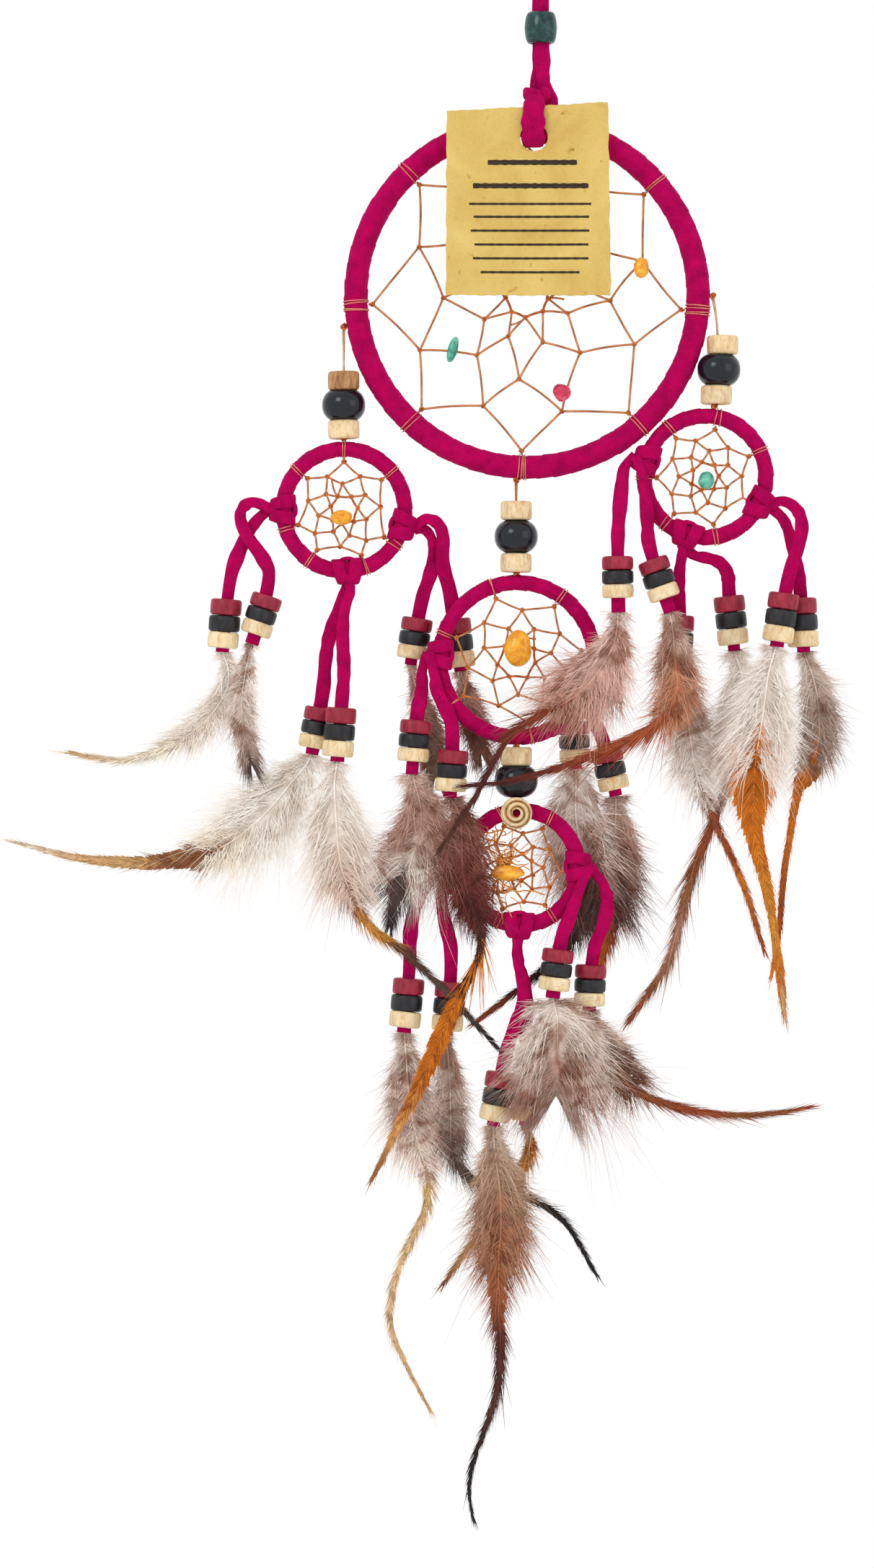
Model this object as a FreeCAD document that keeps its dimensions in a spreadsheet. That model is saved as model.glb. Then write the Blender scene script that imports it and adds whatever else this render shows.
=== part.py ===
import FreeCAD, Part
import math
import os

import Sketcher

# Dream catcher: a suede-wrapped hoop with a knotted thread web hangs from a doubled lace,
# four smaller hoops hang below it on beaded threads, and eleven folded laces, each with two
# beaded ends and a feather in each end, are knotted on the smaller hoops.
#
# Millimetres. +Z is up, +X to the viewer's right and -Y towards the viewer. The origin is
# where the hanging lace bears on its nail. The hoops lie in the plane y = 0, and each feather
# keeps to a plane of its own, so that the tassels can swing past each other.

UP = FreeCAD.Vector(0, 0, 1)
DEPTH = FreeCAD.Vector(0, 1, 0)
ORIGIN = FreeCAD.Vector(0, 0, 0)

SIZES = {
    "lace_width": 4.4,
    "lace_thickness": 1.3,
    "fit_gap": 0.05,
    "main_outer_radius": 55.7,
    "main_band": 7.2,
    "left_outer_radius": 20.9,
    "right_outer_radius": 20.9,
    "middle_outer_radius": 25.9,
    "bottom_outer_radius": 19.8,
    "small_band": 4.8,
    "knot_slack": 0.3,
    "knot_wall": 1.2,
    "knot_length": 5.2,
    "main_knot_length": 10.0,
    "thread_radius": 0.35,
    "web_knot_radius": 0.6,
    "disc_radius": 4.75,
    "disc_hole_radius": 2.6,
    "thick_disc": 4.9,
    "thin_disc": 4.1,
    "string_disc": 5.4,
    "ball_radius": 6.35,
    "ball_length": 9.2,
    "ball_hole_radius": 1.2,
    "pony_radius": 4.9,
    "pony_length": 9.6,
    "pony_hole_radius": 3.1,
    "bead_round": 0.6,
    "tag_width": 49.0,
    "tag_height": 57.5,
    "tag_thickness": 0.4,
    "tag_hole_radius": 4.2,
    "tag_hole_drop": 9.5,
    "quill_radius": 0.5,
    "feather_thickness": 0.6,
}

# Each hoop: its centre, the angles of its web's hitches, the angles of the lace knots on it
# (in degrees from +X towards +Z), the number of rounds in its web, and its stone chips as
# (x, z, half width, half height) from the hoop's centre.
HOOPS = {
    "main": {
        "centre": (-4.2, -130.1), "band": "main_band", "rounds": 4,
        "hitches": (41, 90, 134, 183, 227, 268, 311, 355), "knots": (84.5,),
        "chips": ((-22.6, -16.4, 1.6, 4.0), (10.5, -29.5, 2.8, 2.9), (34.7, 8.4, 2.5, 3.2)),
    },
    "left": {
        "centre": (-59.9, -195.2), "band": "small_band", "rounds": 3,
        "hitches": (39, 90, 139, 198, 236, 291, 326), "knots": (180, 273.4, 344.4),
        "chips": ((-0.7, -2.4, 3.4, 2.3),),
    },
    "right": {
        "centre": (50.0, -185.1), "band": "small_band", "rounds": 3,
        "hitches": (25, 78, 127, 181, 230, 280, 331), "knots": (164, 252, 334),
        "chips": ((0.2, -1.2, 2.5, 2.8),),
    },
    "middle": {
        "centre": (-7.2, -240.8), "band": "small_band", "rounds": 3,
        "hitches": (8, 55, 109, 160, 214, 281, 326), "knots": (175.7, 326),
        "chips": ((0.2, 3.4, 4.4, 5.6),),
    },
    "bottom": {
        "centre": (-6.1, -304.1), "band": "small_band", "rounds": 3,
        "hitches": (61, 112, 155, 203, 246, 303, 355), "knots": (180, 268, 2),
        "chips": ((-4.0, -1.6, 5.2, 2.4),),
    },
}

# The beaded threads between the hoops: the thread's route from top to bottom, and its disc,
# ball and disc as (kind, x, z). A "face" disc lies flat against the hoop below it.
STRINGS = {
    "left": {
        "route": ((-60.0, -139.6), (-60.0, -173.4)),
        "beads": (("disc", -60.0, -155.9), ("ball", -60.0, -163.3), ("disc", -60.0, -170.7)),
    },
    "right": {
        "route": ((52.3, -130.2), (55.2, -142.5), (52.8, -163.7)),
        "beads": (("disc", 55.3, -145.0), ("ball", 54.2, -152.5), ("disc", 53.4, -160.2)),
    },
    "middle": {
        "route": ((-7.5, -186.2), (-7.5, -214.6)),
        "beads": (("disc", -7.5, -195.4), ("ball", -7.5, -203.3), ("disc", -7.5, -211.3)),
    },
    "bottom": {
        "route": ((-7.5, -267.1), (-7.5, -283.9)),
        "beads": (("disc", -7.5, -270.2), ("ball", -7.5, -277.6), ("face", -7.5, -287.4)),
    },
}

# Each tassel is one folded lace: two strands that leave the knot on the hoop. A strand has
# its route, the disc it carries three of, the bare end below them, how far the feather's
# quill lies in front of the lace, and the feather as (x, z, half width) along its spine.
TASSELS = {
    "left_hoop_left": (
        {
            "route": ((-84.0, 0.8, -195.7), (-88, 0.9, -200), (-92, 1, -207.7), (-95.3, 1, -217.3),
                      (-97, 1, -238.4)),
            "disc": "thick_disc", "bare": 1.2, "quill": 1.1,
            "feather": ((-95, -243, 1.5), (-95, -249.5, 2.6), (-99, -256, 3.1), (-104, -261.5, 2.9),
                        (-111, -266, 2.2), (-119.5, -270, 1.3), (-130, -272, 0.9), (-143.5, -269, 0.3)),
        },
        {
            "route": ((-83.4, -0.8, -194.1), (-88.7, -0.9, -192.3), (-92.2, -1, -196.3),
                      (-89.8, -1, -202.9), (-84.7, -1, -209.4), (-81.4, -1, -216.2), (-88, -1, -236)),
            "disc": "thin_disc", "bare": 3.0, "quill": 1.1,
            "feather": ((-89.5, -243, 2.0), (-91, -251, 2.4), (-91, -259.5, 2.6), (-89.5, -267, 2.6),
                        (-88, -273, 1.1)),
        },
    ),
    "left_hoop_bottom": (
        {
            "route": ((-59.5, 0.8, -219.0), (-61.9, 2, -225.5), (-64.5, 3, -233.2), (-65.9, 3.6, -242.4),
                      (-66.1, 3.6, -250.3), (-69.8, 3.6, -269.6)),
            "disc": "thin_disc", "bare": 2.0, "quill": 1.1,
            "feather": ((-71.5, -273, 2.6), (-76, -278, 6.0), (-81, -284.5, 8.0), (-87.5, -291, 8.5),
                        (-95, -297, 5.7), (-104, -300.5, 3.1), (-117, -302.5, 2.4), (-130, -302.5, 1.8),
                        (-143, -301, 1.1), (-154, -298, 0.7), (-164, -295.5, 0.3)),
        },
        {
            "route": ((-57.3, -0.8, -219.0), (-59.7, -2, -224.4), (-60.4, -3, -234.2),
                      (-59.7, -3.6, -244.1), (-60.4, -3.6, -252), (-61.9, -3.6, -271.8)),
            "disc": "thick_disc", "bare": 1.5, "quill": 1.1,
            "feather": ((-63, -278, 3.1), (-62.5, -286, 5.3), (-62, -294.5, 5.3), (-61, -303.5, 3.1),
                        (-58, -311.5, 1.8), (-54, -320, 1.8), (-48.5, -325, 1.9), (-43, -328.5, 1.3),
                        (-32, -338.5, 0.9), (-22.5, -348.5, 0.9), (-12, -360, 0.4)),
        },
    ),
    "left_hoop_right": (
        {
            "route": ((-36.0, 0.9, -200.2), (-33, 2.5, -203.4), (-32.3, 5, -209), (-33.8, 7.5, -215.4),
                      (-36.7, 9, -222.6), (-39.7, 9, -242.2)),
            "disc": "thin_disc", "bare": 2.0, "quill": 1.1,
            "feather": ((-37.5, -250.5, 2.6), (-35, -259.5, 4.4), (-33, -268.5, 4.4), (-32, -277, 1.8)),
        },
        {
            "route": ((-36.4, -0.9, -197.6), (-31.6, -0.9, -198.5), (-29.4, 0.8, -202.9), (-30.3, 4.2, -211.6),
                      (-26.8, 9, -221.3), (-24.4, 9, -244.1)),
            "disc": "thick_disc", "bare": 1.2, "quill": 1.9,
            "feather": ((-23, -249.5, 3.1), (-21, -257.5, 4.4), (-19.5, -264, 3.5), (-18, -269.5, 0.9)),
        },
    ),
    "middle_hoop_left": (
        {
            "route": ((-36.4, -0.6, -243.4), (-36, -1.4, -248.1), (-36.6, -2, -252.9),
                      (-37.8, -2, -257.7), (-39.3, -2, -275.7)),
            "disc": "thin_disc", "bare": 4.0, "quill": 1.1,
            "feather": ((-37, -282.5, 4.4), (-36, -290, 7.0), (-38, -298, 7.2), (-41.5, -304.5, 4.8),
                        (-44.5, -312, 2.6), (-46, -322.5, 0.4)),
        },
        {
            "route": ((-32.3, -3.9, -244.8), (-31.8, -3.9, -250.7), (-28.5, -3.9, -256.2),
                      (-26.3, -3.8, -262.8), (-27.7, -3.4, -282.8)),
            "disc": "thin_disc", "bare": 2.0, "quill": 1.9,
            "feather": ((-24.5, -287, 4.0), (-24, -295.5, 6.5), (-24, -305.5, 6.8), (-21.5, -314.5, 4.4),
                        (-18.5, -322, 1.5), (-18, -327.5, 0.9), (-20, -334, 1.0), (-24, -341, 2.6),
                        (-28.5, -350.5, 3.1), (-33, -361.5, 2.9), (-38, -372.5, 2.0), (-44, -383.5, 1.3),
                        (-48.5, -393.5, 0.9), (-52.5, -400.5, 0.3)),
        },
    ),
    "middle_hoop_right": (
        {
            "route": ((14.9, 4.7, -251.2), (12.3, 7.0, -252), (10.0, 9, -256), (10.8, 9, -274)),
            "disc": "thin_disc", "bare": 2.0, "quill": 1.1,
            "feather": ((11, -278, 4.4), (10.5, -288, 7.5), (12.5, -299, 6.6), (14, -309, 3.5),
                        (12.5, -321, 3.1), (6.5, -331, 1.8), (0.5, -336, 1.1), (-11, -345, 0.9),
                        (-21, -352.5, 0.4)),
        },
        {
            "route": ((15.2, 3.1, -258.6), (17, 6.4, -260.6), (19.4, 9, -264.9), (23.2, 9, -282.3)),
            "disc": "thin_disc", "bare": 2.0, "quill": 1.9,
            "feather": ((23, -288, 3.5), (22.5, -298, 5.7), (22, -309, 5.7), (22, -319, 3.1),
                        (20, -327.5, 2.2), (17.5, -335, 0.7)),
        },
    ),
    "right_hoop_left": (
        {
            "route": ((25.4, -1.5, -181.0), (24.6, -4, -186.8), (23.7, -6.6, -196.3), (23.0, -7.8, -205),
                      (23.4, -7.8, -226.6)),
            "disc": "thin_disc", "bare": 4.4, "quill": 1.1,
            "feather": ((22.5, -235.5, 5.7), (18.5, -243, 10.0), (13.5, -249.5, 9.0), (7.5, -254, 4.8),
                        (-1, -258, 2.2), (-8.5, -262.5, 1.3), (-15.5, -274, 0.9), (-21.5, -285, 0.9),
                        (-32.5, -301, 0.4)),
        },
        {
            "route": ((31.2, -4.0, -184.6), (31.6, -5.8, -191.6), (32.3, -7.4, -200.2), (32.3, -7.7, -206.8),
                      (39.1, -7.7, -226.6)),
            "disc": "thin_disc", "bare": 4.4, "quill": 1.9,
            "feather": ((40, -234, 4.4), (40.5, -242, 6.1), (41.5, -249.5, 5.3), (39.5, -256, 4.4),
                        (31.5, -263.5, 3.1), (17, -269.5, 2.4), (3, -274.5, 1.8), (-12.5, -278.5, 1.1),
                        (-27, -279.5, 0.4)),
        },
    ),
    "right_hoop_bottom": (
        {
            "route": ((43.2, -0.8, -207.8), (42.4, 1.2, -212.6), (41.9, 3.4, -218.2), (42.4, 4.5, -224.4),
                      (41.5, 4.5, -244.1)),
            "disc": "thick_disc", "bare": 2.0, "quill": 1.1,
            "feather": ((43.5, -250.5, 4.4), (45, -260.5, 6.6), (46.5, -270.5, 5.3), (49, -281, 1.5),
                        (54, -292, 1.1), (60, -304.5, 1.1), (63.5, -313.5, 0.9), (68.5, -330.5, 0.4)),
        },
        {
            "route": ((46.2, 0.8, -209.2), (50.5, 1.6, -209.6), (55.1, 3.2, -211), (57.5, 5.2, -214.8),
                      (57.5, 6.8, -220.1), (59.3, 7.1, -238)),
            "disc": "thick_disc", "bare": 2.0, "quill": 1.1,
            "feather": ((61.5, -244, 5.3), (62.5, -252, 8.0), (62.5, -260.5, 8.0), (61.5, -268.5, 6.0),
                        (59.5, -274.5, 2.2), (57, -279.5, 1.1), (53.5, -288.5, 1.3), (49.5, -297.5, 1.8),
                        (45.5, -309, 2.0), (42.5, -321.5, 2.2), (39.5, -333, 2.0), (33.5, -341.5, 1.3),
                        (24.5, -355, 0.4)),
        },
    ),
    "right_hoop_right": (
        {
            "route": ((71.4, -0.9, -192.1), (76.4, -1.6, -193.2), (79.6, -2.6, -197.8), (78.8, -3.5, -205.7),
                      (74.6, -3.9, -215.6), (71.6, -3.9, -236.9)),
            "disc": "thick_disc", "bare": 1.5, "quill": 1.1,
            "feather": ((69, -244, 4.8), (68, -253, 7.0), (66.5, -263, 7.3), (65, -271.5, 5.7),
                        (64.5, -279.5, 3.1), (64, -291.5, 3.1), (66.5, -302, 2.2), (69, -311.5, 1.8),
                        (70.5, -321.5, 1.3), (72, -332, 1.6), (73, -340.5, 1.4), (74, -351, 0.3)),
        },
        {
            "route": ((71.8, 0.9, -195.6), (74.6, 1.8, -198.6), (76.6, 2.8, -204.6), (78.4, 3.5, -213),
                      (79.3, 3.9, -218.9), (80.3, 3.9, -238.4)),
            "disc": "thick_disc", "bare": 1.6, "quill": 1.1,
            "feather": ((83, -245, 4.0), (85, -255, 5.3), (85, -266, 4.8), (82, -274, 2.6),
                        (78.5, -279.5, 1.5), (76, -294.5, 1.1), (74, -306.5, 1.1), (72.5, -327.5, 0.9),
                        (70, -339, 0.4)),
        },
    ),
    "bottom_hoop_left": (
        {
            "route": ((-29.0, -0.8, -305.0), (-34, -0.2, -308.2), (-38.2, 0.6, -315), (-40, 1, -324.5),
                      (-39.7, 1, -334.1), (-41.7, 1, -354.3)),
            "disc": "thick_disc", "bare": 1.6, "quill": 1.1,
            "feather": ((-41, -360.5, 4.0), (-40.5, -369.5, 6.1), (-39.5, -379, 6.1), (-37.5, -389, 3.5),
                        (-34.5, -396, 1.8), (-34, -406, 1.5), (-38.5, -415.5, 1.3), (-43, -425, 1.1),
                        (-45.5, -435, 0.9), (-46, -443, 0.9), (-43, -451.5, 0.7), (-38.5, -460.5, 0.5),
                        (-33, -470.5, 0.3)),
        },
        {
            "route": ((-29.4, 1.0, -307.4), (-30.5, 1.5, -313.5), (-29, 1.5, -321.8), (-26.5, 1.5, -330.8),
                      (-28.8, 1.5, -355.2)),
            "disc": "thick_disc", "bare": 1.4, "quill": 1.1,
            "feather": ((-28, -364, 3.5), (-27.5, -373.5, 4.6), (-27.5, -382.5, 4.0), (-27.5, -391, 2.6),
                        (-23, -398, 2.0), (-15.5, -402, 1.5), (-5.5, -404, 1.3), (2, -407.5, 1.1),
                        (8, -412.5, 0.9), (13, -421, 0.7), (17.5, -429, 0.3)),
        },
    ),
    "bottom_hoop_bottom": (
        {
            "route": ((-7.2, -0.8, -326.8), (-7.2, -0.9, -332.8), (-5.3, -1, -339), (-5, -0.8, -345.6),
                      (-8.3, -0.3, -353.5), (-11, 0, -360.9), (-14.5, 0, -382.7)),
            "disc": "thick_disc", "bare": 1.6, "quill": 1.1,
            "feather": ((-14, -391, 5.3), (-12.5, -401, 7.7), (-12, -411, 7.7), (-12.5, -420, 5.7),
                        (-13, -428.5, 4.4), (-13, -439.5, 3.1), (-12, -449.5, 2.0), (-13, -464.5, 1.3),
                        (-18, -477, 0.9), (-21.5, -488, 0.7), (-22, -496.5, 0.5), (-20, -504, 0.3)),
        },
        {
            "route": ((-7.2, 0.8, -326.8), (-6.8, 1.3, -333.3), (-4.6, 2.2, -339.4), (-4.2, 3.4, -346.9),
                      (-5, 4.6, -354.8), (-3.3, 5.6, -362.7), (-4.8, 5.6, -382.9)),
            "disc": "thick_disc", "bare": 1.5, "quill": 1.1,
            "feather": ((-2.5, -388, 1.8), (-5, -395.5, 2.2), (-11, -406, 2.0), (-18.5, -416, 1.5),
                        (-24, -423, 1.1), (-30, -432, 0.4)),
        },
    ),
    "bottom_hoop_right": (
        {
            "route": ((12, -3.4, -309.4), (10.3, -3.9, -314.4), (8.3, -4.3, -320.3), (5.7, -4.3, -325.8),
                      (3.5, -4.3, -343.6)),
            "disc": "thin_disc", "bare": 2.4, "quill": 1.9,
            "feather": ((5.5, -350, 7.5), (6.5, -357, 11.0), (6.5, -365, 11.0), (6, -372.5, 8.0),
                        (5.5, -378, 2.2)),
        },
        {
            "route": ((16.2, 0.3, -305.4), (19.3, 0.5, -308.9), (20.6, 0.5, -315), (18.9, 0.5, -322.7),
                      (15.4, 0.5, -329.3), (14.7, 0.5, -347.7)),
            "disc": "thin_disc", "bare": 1.5, "quill": 1.9,
            "feather": ((18, -354, 4.0), (21.5, -360.5, 5.3), (25, -368, 5.7), (31.5, -374, 3.1),
                        (43, -377.5, 1.8), (57, -379.5, 1.3), (70.5, -379, 1.1), (84.5, -376.5, 0.4)),
        },
    ),
}

doc = FreeCAD.newDocument("DreamCatcher")
sheet = doc.addObject("Spreadsheet::Sheet", "sizes")
for row, (alias, value) in enumerate(SIZES.items(), 1):
    sheet.set("A%d" % row, alias)
    sheet.set("B%d" % row, str(value))
    sheet.setAlias("B%d" % row, alias)
doc.recompute()

nodes = []


def size(alias):
    """A driving size, read back from the spreadsheet."""
    return float(sheet.get(alias))


def keep(item, label):
    """Name a finished sub-part, so that it is checked and exported."""
    item.Label = label
    nodes.append(item)
    return item


def made(kind, name, place=None, **bound):
    """A parametric object with its properties bound to expressions on the spreadsheet."""
    item = doc.addObject(kind, name)
    for key, expression in bound.items():
        item.setExpression(key, expression)
    if place is not None:
        item.Placement = place
    return item


def cut(name, base, tool):
    item = doc.addObject("Part::Cut", name)
    item.Base, item.Tool = base, tool
    return item


def grouped(label, links):
    """One sub-part made of several separate solids."""
    item = doc.addObject("Part::Compound", label)
    item.Links = links
    return keep(item, label)


def coded(label, shape):
    """A sub-part whose shape is worked out from the sheet's sizes."""
    item = doc.addObject("Part::Feature", label)
    item.Shape = shape
    return keep(item, label)


def at(x, y, z):
    return FreeCAD.Vector(x, y, z)


def aimed(point, direction):
    """The placement that turns +Z to a direction at a point."""
    return FreeCAD.Placement(point, FreeCAD.Rotation(UP, direction))


def on_ring(centre, radius, degrees, depth=0.0):
    turn = math.radians(degrees)
    return at(centre[0] + radius * math.cos(turn), depth, centre[1] + radius * math.sin(turn))


def rounded_route(points):
    """Straight runs joined by tangent arcs, as large as the runs allow; also the radii."""
    edges, radii, start = [], [], points[0]
    for before, corner, after in zip(points, points[1:], points[2:]):
        inward, outward = before - corner, after - corner
        shorter = min(inward.Length, outward.Length)
        inward.normalize()
        outward.normalize()
        turn = math.pi - inward.getAngle(outward)
        reach = 0.45 * shorter
        radius = reach / math.tan(turn / 2)
        middle = inward + outward
        middle.normalize()
        bulge = radius / math.cos(turn / 2) - radius
        first, last = corner + inward * reach, corner + outward * reach
        edges.append(Part.LineSegment(start, first).toShape())
        edges.append(Part.Arc(first, corner + middle * bulge, last).toShape())
        radii.append(round(radius, 1))
        start = last
    edges.append(Part.LineSegment(start, points[-1]).toShape())
    return Part.Wire(edges), radii


def flat_lace(points, name):
    """A flat lace along a route, its width across the route and its thickness along Y."""
    wire, radii = rounded_route(points)
    heading = points[1] - points[0]
    heading.y = 0
    heading.normalize()
    across = heading.cross(DEPTH) * (size("lace_width") / 2)
    depth = DEPTH * (size("lace_thickness") / 2)
    corners = [points[0] + across * i + depth * j for i, j in ((1, 1), (-1, 1), (-1, -1), (1, -1))]
    sweep = Part.BRepOffsetAPI.MakePipeShell(wire)
    sweep.setBiNormalMode(DEPTH)
    sweep.add(Part.makePolygon(corners + corners[:1]))
    sweep.build()
    sweep.makeSolid()
    solid = sweep.shape()
    due = size("lace_width") * size("lace_thickness") * wire.Length
    print("%-26s length %5.1f, volume %.3f of section x length, radii %s"
          % (name, wire.Length, solid.Volume / due, radii))
    return solid


def revolved_bead(name, outer, hole, height):
    """A drilled disc or drum as a PartDesign body: a revolved rectangle with rounded rims."""
    body = doc.addObject("PartDesign::Body", name)
    sketch = body.newObject("Sketcher::SketchObject", name + "_profile")
    plane = [f for f in body.Origin.OriginFeatures if f.Role == "XZ_Plane"][0]
    sketch.AttachmentSupport = [(plane, "")]
    sketch.MapMode = "FlatFace"
    inner_x, outer_x, half = size(hole), size(outer), size(height) / 2
    corners = [at(inner_x, -half, 0), at(outer_x, -half, 0), at(outer_x, half, 0), at(inner_x, half, 0)]
    for first, last in zip(corners, corners[1:] + corners[:1]):
        sketch.addGeometry(Part.LineSegment(first, last), False)
    for side in range(4):
        sketch.addConstraint(Sketcher.Constraint("Coincident", side, 2, (side + 1) % 4, 1))
        sketch.addConstraint(Sketcher.Constraint(("Horizontal", "Vertical")[side % 2], side))
    for first, second, expression in ((("DistanceX", -1, 1), (0, 1), "sizes." + hole),
                                      (("DistanceX", -1, 1), (1, 1), "sizes." + outer),
                                      (("DistanceY", -1, 1), (2, 1), "sizes.%s / 2" % height),
                                      (("DistanceY", 1, 1), (1, 2), "sizes." + height)):
        number = sketch.addConstraint(Sketcher.Constraint(*first, *second, 1.0))
        sketch.setExpression("Constraints[%d]" % number, expression)
    doc.recompute()
    turned = body.newObject("PartDesign::Revolution", name + "_turned")
    turned.Profile = sketch
    turned.ReferenceAxis = (sketch, ["V_Axis"])
    turned.Angle = 360
    doc.recompute()
    rims = ["Edge%d" % (i + 1) for i, edge in enumerate(turned.Shape.Edges)
            if edge.Closed and abs(edge.BoundBox.XLength / 2 - outer_x) < 1e-3]
    rounded = body.newObject("PartDesign::Fillet", name + "_rounded")
    rounded.Base = (turned, rims)
    rounded.setExpression("Radius", "sizes.bead_round")
    body.Tip = rounded
    doc.recompute()
    return body


def ball_bead():
    """A drilled round bead: an ellipsoid with flat ends."""
    ball = made("Part::Ellipsoid", "ball_round", Radius1="sizes.ball_length / 2 * 1.12",
                Radius2="sizes.ball_radius", Radius3="sizes.ball_radius")
    ends = made("Part::Cylinder", "ball_ends", FreeCAD.Placement(at(0, 0, -size("ball_length") / 2),
                FreeCAD.Rotation()), Radius="sizes.ball_radius * 2", Height="sizes.ball_length")
    drill = made("Part::Cylinder", "ball_drill", FreeCAD.Placement(at(0, 0, -size("ball_length")),
                 FreeCAD.Rotation()), Radius="sizes.ball_hole_radius", Height="sizes.ball_length * 2")
    flat = doc.addObject("Part::Common", "ball_flat")
    flat.Base, flat.Tool = ball, ends
    return cut("ball_bead", flat, drill)


def placed(master, point, direction, name):
    """One more bead like its master, at a point, with its hole along a direction."""
    link = doc.addObject("App::Link", name)
    link.LinkedObject = master
    link.Placement = aimed(point, direction)
    return link


def knot_on(name, hoop, degrees, length, ring_radius):
    """The turns of a folded lace round a hoop, as a short sleeve along the hoop."""
    band = hoop["band"]
    turn = math.radians(degrees)
    along = at(-math.sin(turn), 0, math.cos(turn))
    start = on_ring(hoop["centre"], ring_radius, degrees) - along * (size(length) / 2)
    bore = "sizes.%s / 2 + sizes.knot_slack" % band
    inner = made("Part::Cylinder", name + "_bore", aimed(start - along, along), Radius=bore,
                 Height="sizes.%s + 2" % length)
    outer = made("Part::Cylinder", name + "_outer", aimed(start, along),
                 Radius=bore + " + sizes.knot_wall", Height="sizes." + length)
    return cut(name, outer, inner)


def thread(first, last):
    run = last - first
    return Part.makeCylinder(size("thread_radius"), run.Length, first, run)


def span(first, last):
    """A flat face along one span of thread, in the web's plane."""
    across = (last - first).cross(DEPTH)
    across.normalize()
    across *= size("thread_radius")
    outline = [first + across, last + across, last - across, first - across]
    return Part.Face(Part.makePolygon(outline + outline[:1]))


def web(hoop, ring_radius):
    """A knotted thread net, in rounds of sagging loops, and its hitches round the hoop."""
    band = size(hoop["band"]) / 2
    hitch_radius = band + size("thread_radius") + size("fit_gap")
    inside = ring_radius - hitch_radius - size("thread_radius") - size("web_knot_radius") - size("fit_gap")
    hitches, anchors = [], []
    for degrees in hoop["hitches"]:
        under_knot = any(abs((degrees - knot + 180) % 360 - 180) < 10 for knot in hoop["knots"])
        sleeve = size("knot_slack") + size("knot_wall") if under_knot else 0
        if not under_knot:
            turn = math.radians(degrees)
            along = at(-math.sin(turn), 0, math.cos(turn))
            middle = on_ring(hoop["centre"], ring_radius, degrees)
            hitches.append(Part.makeTorus(hitch_radius, size("thread_radius"), middle, along))
        anchors.append((inside - sleeve, degrees))
    faces, nodes_above = [], anchors
    for level, share in enumerate((0.77, 0.52, 0.3, 0.14)[: hoop["rounds"]]):
        level_nodes = []
        for i, (_, degrees) in enumerate(nodes_above):
            following = nodes_above[(i + 1) % len(nodes_above)][1]
            step = (following - degrees) % 360
            drift = 3 * math.sin(2.3 * i + 1.7 * level)
            level_nodes.append((inside * share * (1 + 0.05 * math.sin(3.1 * i + level)),
                                degrees + step / 2 + drift))
        for i, (radius, degrees) in enumerate(level_nodes):
            for near in (nodes_above[i], nodes_above[(i + 1) % len(nodes_above)]):
                faces.append(span(on_ring(hoop["centre"], *near), on_ring(hoop["centre"], radius, degrees)))
        nodes_above = level_nodes
        anchors = anchors + level_nodes
    for radius, degrees in anchors:
        knot = Part.makeCircle(size("web_knot_radius"), on_ring(hoop["centre"], radius, degrees), DEPTH)
        faces.append(Part.Face(Part.Wire(knot)))
    net = faces[0].multiFuse(faces[1:]).removeSplitter()
    solids = [face.extrude(DEPTH * size("thread_radius") * 2) for face in net.Faces]
    for solid in solids:
        solid.translate(DEPTH * -size("thread_radius"))
    return solids + hitches


def chip(hoop, x, z, half_width, half_height):
    """A tumbled stone chip that lies just in front of its web."""
    half_depth = 0.75 * min(half_width, half_height)
    depth = -(size("web_knot_radius") + size("fit_gap") * 4 + half_depth)
    stone = Part.makeSphere(1)
    matrix = FreeCAD.Matrix()
    matrix.scale(half_width, half_depth, half_height)
    stone = stone.transformGeometry(matrix)
    stone.translate(at(hoop["centre"][0] + x, depth, hoop["centre"][1] + z))
    return stone


def feather(spine, depth):
    """A thin closed plate that follows a feather's spine, as wide as the feather."""
    sides = ([], [])
    for i, (x, z, half_width) in enumerate(spine):
        before, after = spine[max(i - 1, 0)], spine[min(i + 1, len(spine) - 1)]
        heading = at(after[0] - before[0], 0, after[1] - before[1])
        heading.normalize()
        across = heading.cross(DEPTH) * half_width
        sides[0].append(at(x, depth, z) + across)
        sides[1].append(at(x, depth, z) - across)
    outline = sides[0] + sides[1][::-1]
    face = Part.Face(Part.makePolygon(outline + outline[:1]))
    plate = face.extrude(DEPTH * size("feather_thickness"))
    plate.translate(DEPTH * (-size("feather_thickness") / 2))
    return plate


def hoop_nodes(key, hoop):
    """A hoop's bare ring, its suede wrap with the lace knots on it, and its web with chips."""
    name = key + ("_hoop" if key != "main" else "")
    ring = "sizes.%s_outer_radius - sizes.%s / 2" % (key, hoop["band"])
    core = "sizes.%s / 2 - sizes.lace_thickness" % hoop["band"]
    place = aimed(at(hoop["centre"][0], 0, hoop["centre"][1]), DEPTH)
    core_ring = made("Part::Torus", name + "_ring", place, Radius1=ring, Radius2=core + " - sizes.fit_gap")
    keep(core_ring, name + "_ring")
    outer = made("Part::Torus", name + "_wrap_outer", place, Radius1=ring,
                 Radius2="sizes.%s / 2" % hoop["band"])
    inner = made("Part::Torus", name + "_wrap_inner", place, Radius1=ring, Radius2=core)
    wrap = cut(name + "_wrap_shell", outer, inner)
    doc.recompute()
    ring_radius = core_ring.Radius1.Value
    length = "knot_length" if key != "main" else "main_knot_length"
    knots = [knot_on("%s_knot_%d" % (name, i), hoop, degrees, length, ring_radius)
             for i, degrees in enumerate(hoop["knots"], 1)]
    grouped(name + "_wrap", [wrap] + knots)
    chips = [chip(hoop, *numbers) for numbers in hoop["chips"]]
    coded(name + "_web", Part.Compound(web(hoop, ring_radius) + chips))


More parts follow.
